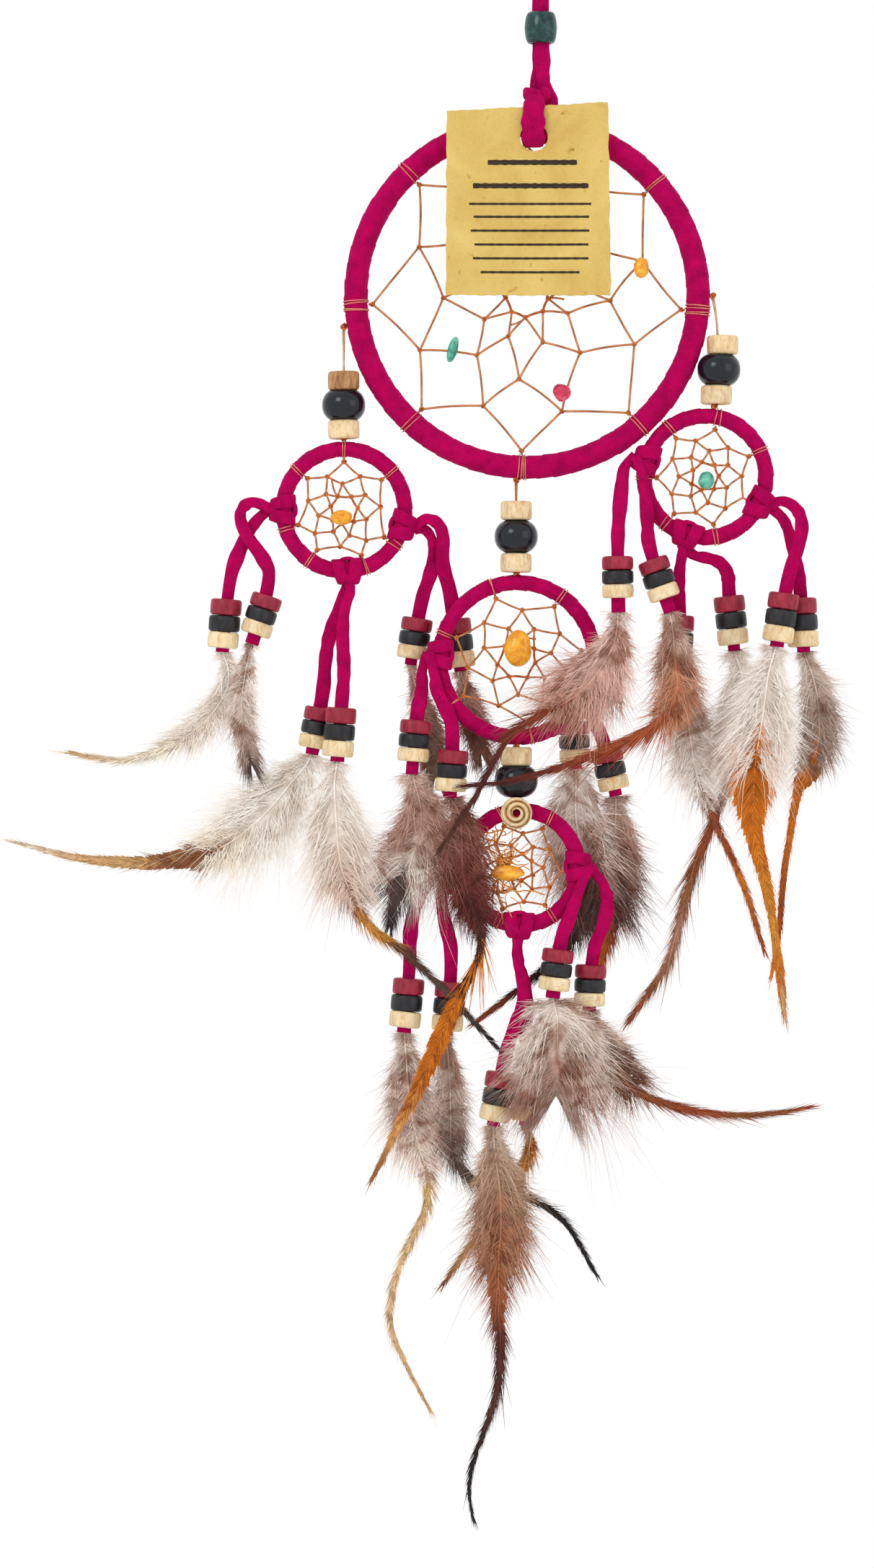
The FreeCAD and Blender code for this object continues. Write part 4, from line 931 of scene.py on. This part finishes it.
def spiral_disc(soup, centre, box):
    """A drilled disc seen face on, with a spiral groove turned in its front, and painted shade in the groove:
    its deepest part takes the darker tan wood.
    """
    rows, groove_shade = [], []
    half = SPIRAL_HALF
    for turn in (2 * math.pi * k / 60 for k in range(60)):
        out = np.array((math.cos(turn), 0, math.sin(turn)))
        profile = [(0.0012, half - 0.0003), (0.0044, half), (0.00475, half - 0.0005), (0.00478, 0),
                   (0.00475, -half + 0.0006)]
        cut = [False] * len(profile)
        for radius in np.linspace(0.0045, 0.0013, 33):
            groove = 0.5 + 0.5 * math.cos(2 * math.pi * (radius / 0.0016) + turn)
            cut.append(groove < 0.16)
            profile.append((radius, -half + 0.0014 * (1 - groove) ** 1.5))
        profile.append((0.0012, -half + 0.0008))
        rows.append([centre + out * radius + BACK * depth for radius, depth in profile])
        groove_shade.append(cut + [False])
    soup.grid(rows, 2, around=True, closed=True, uv_box=box)
    # the deepest part of the groove takes slot 0, the darker tan wood: painted shade in the groove
    soup.slots[-1][np.array(groove_shade).ravel()] = 0


# ---------------------------------------------------------------- hanging lace, bead, tag

def hanging_piece():
    route = metres(((36, -8, -742), (34, -10, -706), (10, -8, -668), (4, -7.5, -610), (4, -7.5, -470),
                    (4, -7.5, -340), (10, -5, -255), (45, -2, -185), (66, 0, -95), (45, 0, -12),
                    (0, 0, 14), (-45, 0, -12), (-66, 0, -95), (-45, 2, -185), (-10, 5, -255),
                    (-4, 7.5, -340), (-4, 7.5, -470), (-4, 7.5, -610), (-14, 10, -680), (-30, 8, -742)))
    line = smooth_line(route, 10)
    top = np.clip((line[:, 2] + 0.034) / 0.016, 0, 1)[:, None]
    side = np.where(np.arange(len(line)) < len(line) / 2, 1.0, -1.0)[:, None]
    wide = (1 - top) * np.array((1.0, 0, 0)) * side + top * BACK
    soup = Soup()
    strap(soup, line, wide, LACE_WIDTH, LACE_THICK, np.random.default_rng(3))
    lace = soup.piece("hanging_suede_lace", [SUEDE], "hanger", "suede", "hanging_lace")
    barrel = ((0.0031, 0.0043), (0.0034, 0.0047), (0.0038, 0.0047), (0.0042, 0.0043), (0.00455, 0.0034),
              (0.00485, 0.0018))
    profile = [(r, -z) for r, z in barrel] + [(0.0050, 0.0)] + [(r, z) for r, z in reversed(barrel)]
    bead = Soup()
    revolved(bead, profile, (0, 0, -0.0485), (0, 0, 1), 0, 40)
    drum = bead.piece("drum_bead", [PONY], "hanger", "drum_bead", "pony_bead")
    knot_turn = Soup()
    turns = np.linspace(0.4, 2 * math.pi + 0.9, 40)
    ring = np.stack([-0.0012 + 0.0034 * np.sin(turns), -0.0008 - 0.0032 * np.cos(turns),
                     -0.0688 - 0.0006 * np.sin(turns) - 0.0006 * (turns - math.pi) / math.pi], 1)
    strap(knot_turn, ring, (0, 0, 1.0), 0.0036, 0.0014, np.random.default_rng(6), 0.0003)
    knot_turn.piece("hanging_knot", [SUEDE], "hanger", "suede")


def tag_piece():
    """The card: gently curled, with its punched hole, and plain printed rules for its text."""
    x0, y0, z0 = -0.0042, -0.0064, -0.0730
    half_wide, wide, tall = 0.0245, 0.049, 0.0575
    corners = np.array(((-half_wide, -0.0016), (half_wide, 0.0012), (0.0253, -tall), (-0.0247, -tall)))
    hole, hole_radius = np.array((0.0020, -0.0095)), 0.0042
    columns, lines = 48, 56

    def spot(u, v):
        top, foot = corners[0] * (1 - u) + corners[1] * u, corners[3] * (1 - u) + corners[2] * u
        wave = 0.00010 * math.sin(u * 81 + v * 50) + 0.00008 * math.sin(u * 23 + v * 31)
        return top * (1 - v) + foot * v + wave * np.array((abs(2 * u - 1) ** 30, abs(2 * v - 1) ** 30))

    def lift(x, z):
        """How far the card curls towards the viewer."""
        u, v = (x + half_wide) / wide, -z / tall
        corner = max(0, v - 0.75) * max(0, 0.5 - u)
        return (2 * u - 1) ** 2 * 0.0007 * (0.3 + v) + 0.0005 * math.sin(v * 2.8) + 0.009 * corner

    def seat(x, z, back):
        return (x0 + x, y0 - lift(x, z) - CARD_THICK * (1 - back), z0 + z)

    soup = Soup()
    left, right, high, low = 18, 34, 3, 16
    rings = (0.0, 0.2, 0.45, 0.7, 1.0)
    edge = [(i, high) for i in range(left, right)] + [(right, j) for j in range(high, low)]
    edge += [(i, low) for i in range(right, left, -1)] + [(left, j) for j in range(low, high, -1)]
    n = len(edge)
    every = [(i, j) for i in range(columns + 1) for j in range(lines + 1)]
    card = {(i, j): spot(i / columns, j / lines) for i, j in every}
    for back in (0, 1):
        order = -1 if back else 1
        faces = []
        for i, j in every:
            if i < columns and j < lines and not (left <= i < right and high <= j < low):
                a = i * (lines + 1) + j
                faces.append([a, a + 1, a + lines + 2, a + lines + 1][::order])
        soup.add([seat(*card[place], back) for place in every], faces,
                 [(i / columns * 0.48 + 0.5 * back, j / lines) for i, j in every])
        points, uvs = [], []
        for share in rings:
            for place in edge:
                outer = card[place]
                x, z = (hole + unit(outer - hole) * hole_radius) * (1 - share) + outer * share
                points.append(seat(x, z, back))
                uvs.append(((x + half_wide) / wide * 0.48 + 0.5 * back, min(1, max(0, -z / tall))))
        faces = [(r * n + k, r * n + (k + 1) % n, (r + 1) * n + (k + 1) % n, (r + 1) * n + k)[::order]
                 for r in range(len(rings) - 1) for k in range(n)]
        soup.add(points, faces, uvs)
    rim = [(i, 0) for i in range(columns)] + [(columns, j) for j in range(lines)]
    rim += [(i, lines) for i in range(columns, 0, -1)] + [(0, j) for j in range(lines, 0, -1)]
    bore = [hole + unit(card[place] - hole) * hole_radius for place in edge]
    for loop in ([card[place] for place in rim], bore):
        rows = [[seat(x, z, back) for back in (0, 1)] for x, z in loop]
        soup.grid(rows, closed=True, uv_box=(0.49, 0, 0.495, 1))
    for height, length, thick, shift in metres(RULES):
        rows = []
        for x in np.linspace(shift - length / 2, shift + length / 2, max(3, int(length / 0.0012))):
            fat = thick * (0.42 + 0.06 * math.sin(x * 2100 + height * 900))
            rows.append([(x0 + x, seat(x, height, 0)[1] - 0.00007, z0 + height + k * fat) for k in (-1, 1)])
        soup.grid(rows, 1)
    soup.piece("tag_parchment", [PARCHMENT, INK], "tag", "card", "tag_card", smooth=False)
    route = metres(((-13, -26, -690), (-17, -52, -706), (-24, -84, -738), (-25, -92, -790),
                    (-24, -80, -826), (-24, -48, -847)))
    line = smooth_line(route, 10)
    slim = np.interp(np.linspace(0, 1, len(line)), (0, 0.2, 0.6, 1), (0.60, 0.88, 1.0, 1.0))
    lace = Soup()
    strap(lace, line, (1.0, 0, 0), 0.0070, 0.0017, np.random.default_rng(5), 0.0002, slim)
    lace.piece("tag_lace", [SUEDE], "tag", "suede", "tag_loop")


# ---------------------------------------------------------------- feathers

def blades(soup, root, heading, length, width, curl, face, u, v, steps, plane):
    """Many thin tapered barbs at once: arrays of roots, headings, lengths and curls."""
    n = len(root)
    shares = np.linspace(0, 1, steps + 1)
    across = np.cross(heading, face)
    across /= np.maximum(np.linalg.norm(across, axis=1), 1e-9)[:, None]
    points = np.zeros((n, steps + 1, 2, 3))
    for k, s in enumerate(shares):
        spine = root + heading * (length * s)[:, None] + curl * (length * s * s)[:, None]
        half = (width * (1 - s ** 1.6 * 0.92) / 2)[:, None]
        points[:, k, 0] = spine - across * half
        points[:, k, 1] = spine + across * half
    points[..., 1] = plane + DOWN_DEPTH * np.tanh((points[..., 1] - plane) / DOWN_DEPTH)
    base = (np.arange(n)[:, None] * (steps + 1) * 2 + np.arange(steps)[None, :] * 2).ravel()
    faces = np.stack([base, base + 1, base + 3, base + 2], axis=1)
    us = np.broadcast_to(u[:, None, None], (n, steps + 1, 2)) + np.array((-0.0008, 0.0008))
    us = np.clip(us, *UV_RANGE)
    vs = np.broadcast_to(v[0] + (v[1] - v[0]) * shares[None, :, None], (n, steps + 1, 2))
    soup.add(points, faces, np.stack([us, vs], axis=3))


def sheet(soup, where, along, edge, slant, lift, shares, v0, v1):
    """Barbs that lie close: a thin sheet from the quill out to its edge, on one side."""
    spot, way, out = where
    rows, uvs = [], []
    for share in shares:
        row = spot + out * (edge * share)[:, None] + way * (slant * share)[:, None]
        row[:, 1] += lift(share)
        rows.append(row)
        uvs.append(np.stack([np.clip(along, *UV_RANGE), np.full(len(along), v0 + v1 * share)], 1))
    soup.grid(np.stack(rows, 1), uvs=np.stack(uvs, 1))


def spine_of(spine, depth):
    """A feather's spine in even steps, with the half width and the distance along it."""
    points = np.array([(x, depth, z) for x, z, _ in spine])
    widths = np.array([w for _, _, w in spine])
    gaps = run_of(points)
    line = smooth_line(points, 12)
    run = run_of(line)
    even = np.linspace(0, run[-1], 160)
    line = np.stack([np.interp(even, run, line[:, k]) for k in range(3)], axis=1)
    half = np.interp(even / even[-1], gaps / gaps[-1], widths)
    half = np.convolve(np.pad(half, 4, mode="edge"), np.ones(9) / 9, mode="valid")
    return line, half, even


def feather(soup, spine, stub, quill, depth, ends, kind, hairs, seed):
    """A feather whose quill lies behind the lace's end, the stub, as far as the stub goes."""
    rng = np.random.default_rng(seed)
    line, half, run = spine_of(spine, depth)
    total = run[-1]
    shut, loose = "shut" in kind, "loose" in kind
    wave = np.sin(np.linspace(0, 3.0, len(line)) + seed) * np.linspace(0, 1, len(line)) ** 1.5 * 0.0012
    line[:, 1] += wave - wave[0]
    line[:, 1] += (quill + 0.0011) * np.interp(run, (0, stub + 0.001, stub + 0.006), (1, 1, 0))
    ahead = headings(line)
    side = np.cross(ahead, BACK)
    side /= np.linalg.norm(side, axis=1)[:, None]
    first = np.interp(run, (0, stub, stub + 0.004), (0.75, 0.75, 0))
    full = half * np.interp(run / total, (0, 0.04, ends, ends + 0.12, 1), (1.3, 1.45, 1.25, 1.0, 1.0))
    full = np.maximum(full, first * np.interp(stub + 0.006, run, full))
    thin = np.interp(np.linspace(0, 1, len(line)), (0, 0.15, 0.5, 1), (1.0, 0.85, 0.45, 0.12))
    tube(soup, line[::3], QUILL, 6, uv_box=(0, 0.2, 1, 0.3), taper=thin[::3])
    start = (stub - 0.0006) / total

    def at_run(s):
        """The spine's place, heading and side at these distances along it."""
        return [np.stack([np.interp(s, run, rows[:, k]) for k in range(3)], 1)
                for rows in (line, ahead, side)]

    def roots(s, sign, angle, spread):
        """Barbs' roots and headings: swept from the spine by an angle, to one side."""
        spot, way, out = at_run(s)
        heading = way * np.cos(angle)[:, None] + out * (sign * np.sin(angle))[:, None]
        heading[:, 1] += rng.normal(0, spread, len(s))
        return spot, way, out, heading

    # the vane's web: barbs hooked together into a thin sheet, open in tufts along its edge
    grid_s = np.arange((ends - 0.08) * total, total * 0.99, 0.0004)
    where, wide = at_run(grid_s), np.interp(grid_s, run, full)
    fade = np.clip((grid_s / total - ends + 0.08) / 0.12, 0.12, 1)
    for sign in (-1, 1):
        ragged = 1 - np.abs(rng.normal(0, 0.05 if shut else 0.13, len(grid_s)))
        gaps = rng.random(len(grid_s)) < (0.012 if shut else 0.06)
        cuts = np.concatenate([[0], np.cumsum(rng.uniform(0.0016, 0.0050, 80))])
        reach = grid_s - grid_s[0]
        tuft = np.searchsorted(cuts[1:], reach)
        share_in = (reach - cuts[tuft]) / np.diff(cuts)[np.minimum(tuft, 79)]
        ragged = ragged * (1 - (0.30 if shut else 0.45) * rng.random(81)[tuft] * (1 - share_in) ** 0.8)
        edge = wide * ragged * np.where(gaps, 0.7, 1) * fade * (1.0 if shut else 0.42 if loose else 0.76)
        sheet(soup, where, grid_s / total, sign * edge, edge * 1.5,
              lambda share: 0.00025 + 0.0006 * share ** 2 * (edge / 0.006), (0.0, 0.33, 0.66, 1.0), 0.1, 0.8)

    # loose barbs over the vane
    count = int(total / (0.00022 if shut else 0.00011 if loose else 0.00013))
    s = np.sort(rng.uniform(max(start, ends - 0.12) * total, total * (0.94 if loose else 0.985), count))
    sign = rng.choice((-1.0, 1.0), count)
    wide = np.interp(s, run, full)
    slim = np.clip(wide / 0.004, 0, 1)
    angle = np.radians((1.5 if loose else 7) + (18 if loose else 26) * slim + rng.normal(0, 2.4, count))
    spot, way, out, heading = roots(s, sign, angle, 0.05)
    length = wide * rng.uniform(0.8, 1.15 if shut else 1.35, count) / np.maximum(np.sin(angle), 0.06)
    length = np.clip(length, 0.0015, 0.013 if shut else 0.018)
    if loose:
        length = rng.uniform(0.005, 0.015, count) * np.interp(s / total, (0, 0.45, 1), (1, 0.75, 0.5))
        length = np.minimum(length, (total - s) * 1.02 + 0.0005)
    stray = rng.random(count) < (0.02 if shut else 0.07)
    length = np.where(stray, length * 1.35, length)
    curl = way * 0.12 + rng.normal(0, 0.06, (count, 3)) * (1, 0.5, 1)
    face = BACK + out * (sign * 0.25)[:, None]
    blades(soup, spot, heading, length, rng.uniform(*BARB_WIDTH, count), curl, face,
           np.minimum(s / total + 0.05, 0.99), (0.05, 1.0), 5, depth)

    # long hairs that part from the vane
    if hairs:
        count, first_hair, last_hair, reach, hue = hairs
        s = rng.uniform(first_hair, last_hair, count) * total
        sign = rng.choice((-1.0, 1.0), count)
        angle = np.radians(rng.uniform(3, 17, count))
        spot, way, out, heading = roots(s, sign, angle, 0.08)
        length = np.minimum(rng.uniform(0.45, 1.0, count) * reach, (total - s) * 1.02)
        curl = way * 0.1 + rng.normal(0, 0.10, (count, 3)) * (1, 0.4, 1)
        curl[:, 2] -= 0.10
        hues = np.full(count, hue) if hue else np.minimum(s / total + 0.08, 0.99)
        blades(soup, spot, heading, length, rng.uniform(*HAIR_WIDTH, count), curl,
               np.tile(BACK, (count, 1)), hues, (0.05, 1.0), 8, depth)

    # the down: a close soft core, then long barbs that stand out and curl every way
    stretch = (ends + 0.03) * total
    grid_s = np.arange(start * total, stretch, 0.0006)
    where, wide = at_run(grid_s), np.interp(grid_s, run, full)
    fade = np.minimum((grid_s - grid_s[0]) / 0.003, (stretch - grid_s) / (0.10 * total))
    fade = np.clip(fade, 0.25, 1) ** 0.7
    for layer in (0, 1):
        for sign in (-1, 1):
            edge = wide * np.clip(0.62 + rng.normal(0, 0.12, len(grid_s)), 0.25, 0.9) * fade
            ripple = 0.0008 * np.sin(grid_s * 900 + 3 * layer + sign)
            sheet(soup, where, grid_s / total, sign * edge, edge * 0.6,
                  lambda share: (0.0005 + 0.0009 * layer) + ripple * share, (0.0, 0.35, 0.7, 1.0), 0.3, 0.5)
    mean = float(np.interp(np.linspace(start, ends, 9) * total, run, full).mean())
    count = int(np.clip(stretch * mean / 1.15e-7, 500, 2200))
    s = start * total + (min(stretch + 0.03 * total, total) - start * total) * rng.beta(0.92, 1.15, count)
    sign = rng.choice((-1.0, 1.0), count)
    angle = np.radians(rng.uniform(22, 80, count) + 32 * np.exp(-(s - start * total) / 0.004))
    wide = np.interp(s, run, full)
    spot, way, out, heading = roots(s, sign, angle, 0.34)
    inner = rng.random(count) ** 0.6 * 0.55
    spot = spot + out * (sign * inner * wide * 0.9)[:, None] + way * (inner * wide * 0.4)[:, None]
    forward = 0.0007 * np.clip(s / stretch - 0.6, 0, 1)
    spot[:, 1] += rng.normal(-0.0001, 0.0006, count) * (0.3 + inner) - forward
    length = wide * rng.uniform(0.45, 1.15, count) * (1.15 - inner) / np.maximum(np.sin(angle), 0.6)
    curl = way * rng.uniform(-0.1, 0.5, count)[:, None] + rng.normal(0, 0.28, (count, 3)) * (1, 0.6, 1)
    curl[:, 2] -= 0.12
    face = BACK + rng.normal(0, 0.35, (count, 3))
    blades(soup, spot, heading, length, rng.uniform(*DOWN_WIDTH, count), curl, face,
           np.minimum(s / total, max(0.1, ends - 0.03)), (0.1, 1.0), 4, depth)


# ---------------------------------------------------------------- tassels

def tassel(name, hoop, strands, seed):
    body = name + "_tassel"
    for number, (measures, ends, kind, hairs, colours) in enumerate(strands):
        rng = np.random.default_rng(seed * 10 + number)
        tall, bare, quill, route, spine = metres(measures)
        route = [np.array(p) for p in route]
        leaves = [hoop.at(hoop.ring + hoop.band + KNOT_WALL, degrees) for degrees in hoop.knots]
        start = min(leaves, key=lambda place: np.linalg.norm(place - route[0]))
        line = smooth_line([start + BACK * (route[0][1] * 0.8)] + route, 10)
        wide = np.cross(headings(line), BACK)
        places = np.linspace(0, 1, len(line))
        roll = np.interp(places, (0, 0.25, 0.5, 0.75, 1), rng.uniform(-0.35, 0.35, 5))[:, None]
        turned = wide * np.cos(roll) + BACK * np.sin(roll)
        slim = np.interp(places, (0, 0.12, 0.3, 0.55, 1), (0.80, 0.72, rng.uniform(0.72, 0.9), 1.0, 0.96))
        soup = Soup()
        strap(soup, line, turned, LACE_WIDTH * 0.98, LACE_THICK, rng, 0.0001, slim)
        lace = soup.piece("%s_lace_%d" % (name, number + 1), [SUEDE], body, "suede", name + "_laces")
        down = unit(route[-1] - route[-2])
        centre = route[-1] - down * (bare + tall / 2)
        beads = Soup()
        for i in range(3):
            lean, spin = down + rng.normal(0, 0.012, 3), rng.uniform(0, 6)
            revolved(beads, disc_profile(BEAD_RADIUS * rng.uniform(0.985, 1.01), BEAD_HOLE, tall, RIM),
                     centre - down * (i * (tall + BEAD_GAP)), lean, i, 32, (i / 3, 0, (i + 1) / 3, 1), spin)
        discs = beads.piece("%s_discs_%d" % (name, number + 1), [WOOD_NATURAL, WOOD_BLACK, WOOD_RED],
                            body, "wood_bead", name + "_beads")
        top = tuple((p[0], p[2], 0.0005) for p in (centre, route[-1] + down * 0.0005))
        stops = colours.split()
        stops = [(int(place) / 100, PALETTE[color]) for place, color in zip(stops[::2], stops[1::2])]
        plume = Soup()
        feather(plume, top + spine, bare + tall / 2, quill, route[-1][1] - quill, ends, kind, hairs,
                seed * 10 + number)
        plumes = plumage("plumage_%s_%d" % (name, number + 1), stops, 2 * (seed - TASSEL_SEED) + number, ends,
                         "plain" in kind)
        plume.piece("%s_feather_%d" % (name, number + 1), [plumes], body, "feather", name + "_feathers",
                    merge=0)


# ---------------------------------------------------------------- stage

def light(name, place, look_at, energy, size):
    lamp = bpy.data.lights.new(name, "AREA")
    lamp.energy, lamp.size = energy, size
    item = bpy.data.objects.new(name, lamp)
    item.location = place
    item.rotation_euler = (Vector(look_at) - Vector(place)).to_track_quat("-Z", "Y").to_euler()
    scene.collection.objects.link(item)


def stage():
    """A pale floor, soft light, and a camera square on, as far off as the photo's."""
    world = bpy.data.worlds.new("studio")
    world.use_nodes = True
    world.node_tree.nodes["Background"].inputs["Color"].default_value = (1, 1, 1, 1)
    world.node_tree.nodes["Background"].inputs["Strength"].default_value = 1.0
    scene.world = world
    middle = (-0.03, 0, -0.28)
    light("key", (-0.9, -1.4, 0.7), middle, 7, 0.7)
    light("fill", (1.3, -1.1, 0.1), middle, 2.5, 1.0)
    soup = Soup()
    soup.grid([[(radius * math.cos(a), radius * math.sin(a), -0.9)
                for a in full_turn(64)]
               for radius in (0.001, 0.4, 0.8, 1.2, 1.6)], around=True)
    greys = ((0.3, (0.93, 0.93, 0.92)), (0.7, (0.96, 0.96, 0.95)))
    paint = plain("floor_paint", {"Roughness": 0.9}, (12, 2), greys)
    soup.object("floor", [paint])
    view = bpy.data.cameras.new("camera")
    view.sensor_width = 36
    view.sensor_fit = "AUTO"
    distance, height = 1.7, 0.4773
    view.lens = 36 * distance / height
    camera = bpy.data.objects.new("camera", view)
    camera.location = (-0.0316, -distance, -0.2786)
    camera.rotation_euler = (math.pi / 2, 0, 0)
    scene.collection.objects.link(camera)
    scene.camera = camera
    scene.view_settings.view_transform = "Standard"


SUEDE = suede("suede_magenta")
THREAD_ORANGE = waxed_thread("thread_orange", (0.68, 0.38, 0.20), (0.84, 0.54, 0.30))
THREAD_PINK = waxed_thread("thread_hitch", (0.80, 0.36, 0.34), (0.90, 0.56, 0.44))
THREAD_DEEP = waxed_thread("thread_knots", (0.68, 0.30, 0.06), (0.86, 0.46, 0.12))
FIBRE = waxed_thread("fibre_orange", (0.88, 0.48, 0.10), (0.98, 0.68, 0.26))
THREAD_PALE = waxed_thread("thread_pale", (0.70, 0.56, 0.40), (0.84, 0.72, 0.54))
WOOD_RED = wood("bead_red", (0.50, 0.05, 0.14), (0.60, 0.09, 0.20), (0.68, 0.15, 0.26), 0.45)
WOOD_BLACK = wood("bead_black", (0.05, 0.05, 0.06), (0.09, 0.09, 0.11), (0.18, 0.18, 0.20), 0.40)
WOOD_NATURAL = wood("bead_natural", (0.86, 0.70, 0.48), (0.94, 0.84, 0.66), (0.97, 0.91, 0.77), 0.55)
DISC = wood("disc_natural", (0.84, 0.67, 0.46), (0.93, 0.82, 0.63), (0.97, 0.90, 0.76), 0.55)
# darker tan wood: the own colour of the left string's top disc, and painted shade in the spiral disc's groove
TAN_WOOD_AND_GROOVE_SHADE = wood("disc_tan_and_groove_shade", (0.52, 0.33, 0.18), (0.74, 0.54, 0.33), (0.84, 0.66, 0.44), 0.50)
BALL = lacquer("ball_dark", (0.02, 0.04, 0.06), (0.04, 0.07, 0.10), (0.07, 0.13, 0.15), 380)
PONY = lacquer("drum_teal", (0.03, 0.12, 0.13), (0.07, 0.24, 0.23), (0.20, 0.38, 0.34), 420)
PARCHMENT = parchment("parchment")
INK = plain("print_brown", {"Roughness": 0.6, "Specular_IOR_Level": 0.3}, (2600, 3, 0.7),
            ((0.35, (0.13, 0.09, 0.05)), (0.62, (0.22, 0.15, 0.07)), (0.75, (0.45, 0.35, 0.16))), (0.5, 0.75))
STONES = {
    "turquoise": stone("stone_turquoise", (0.10, 0.45, 0.38), (0.28, 0.66, 0.56), (0.50, 0.78, 0.68)),
    "pink": stone("stone_pink", (0.62, 0.06, 0.20), (0.82, 0.16, 0.32), (0.92, 0.45, 0.52)),
    "amber": stone("stone_amber", (0.80, 0.46, 0.02), (0.93, 0.63, 0.07), (0.97, 0.76, 0.26)),
}

stage()
hoops = {name: Hoop(*values) for name, values in HOOPS.items()}
for seed, (name, hoop) in enumerate(hoops.items(), 1):
    body = "main_hoop" if name == "main" else name
    winding_piece(name, hoop, body, seed)
    web_piece(name, hoop, body, seed + WEB_SEED)
    chips_piece(name, hoop, body, seed + CHIP_SEED)
for seed, (name, string) in enumerate(STRINGS.items(), STRING_SEED):
    string_piece(name, *metres(string), seed)
hanging_piece()
tag_piece()
for seed, (name, strands) in enumerate(TASSELS.items(), TASSEL_SEED):
    tassel(name, hoops[name.rsplit("_", 1)[0]], strands, seed)
steel = Nodes("ring_steel", Roughness=0.35, Metallic=1.0)
scratches = steel.noise(900, stretch=(1, 1, 8))
steel.color(steel.ramp(scratches, (0.3, (0.45, 0.45, 0.47)), (0.7, (0.68, 0.68, 0.70))))
steel.rough(scratches, 0.28, 0.5)
for node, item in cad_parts.items():
    if node.endswith("_ring"):
        if not item.material_slots:
            item.data.materials.append(steel.material)
        for slot in item.material_slots:
            slot.material = steel.material

bpy.context.view_layer.update()
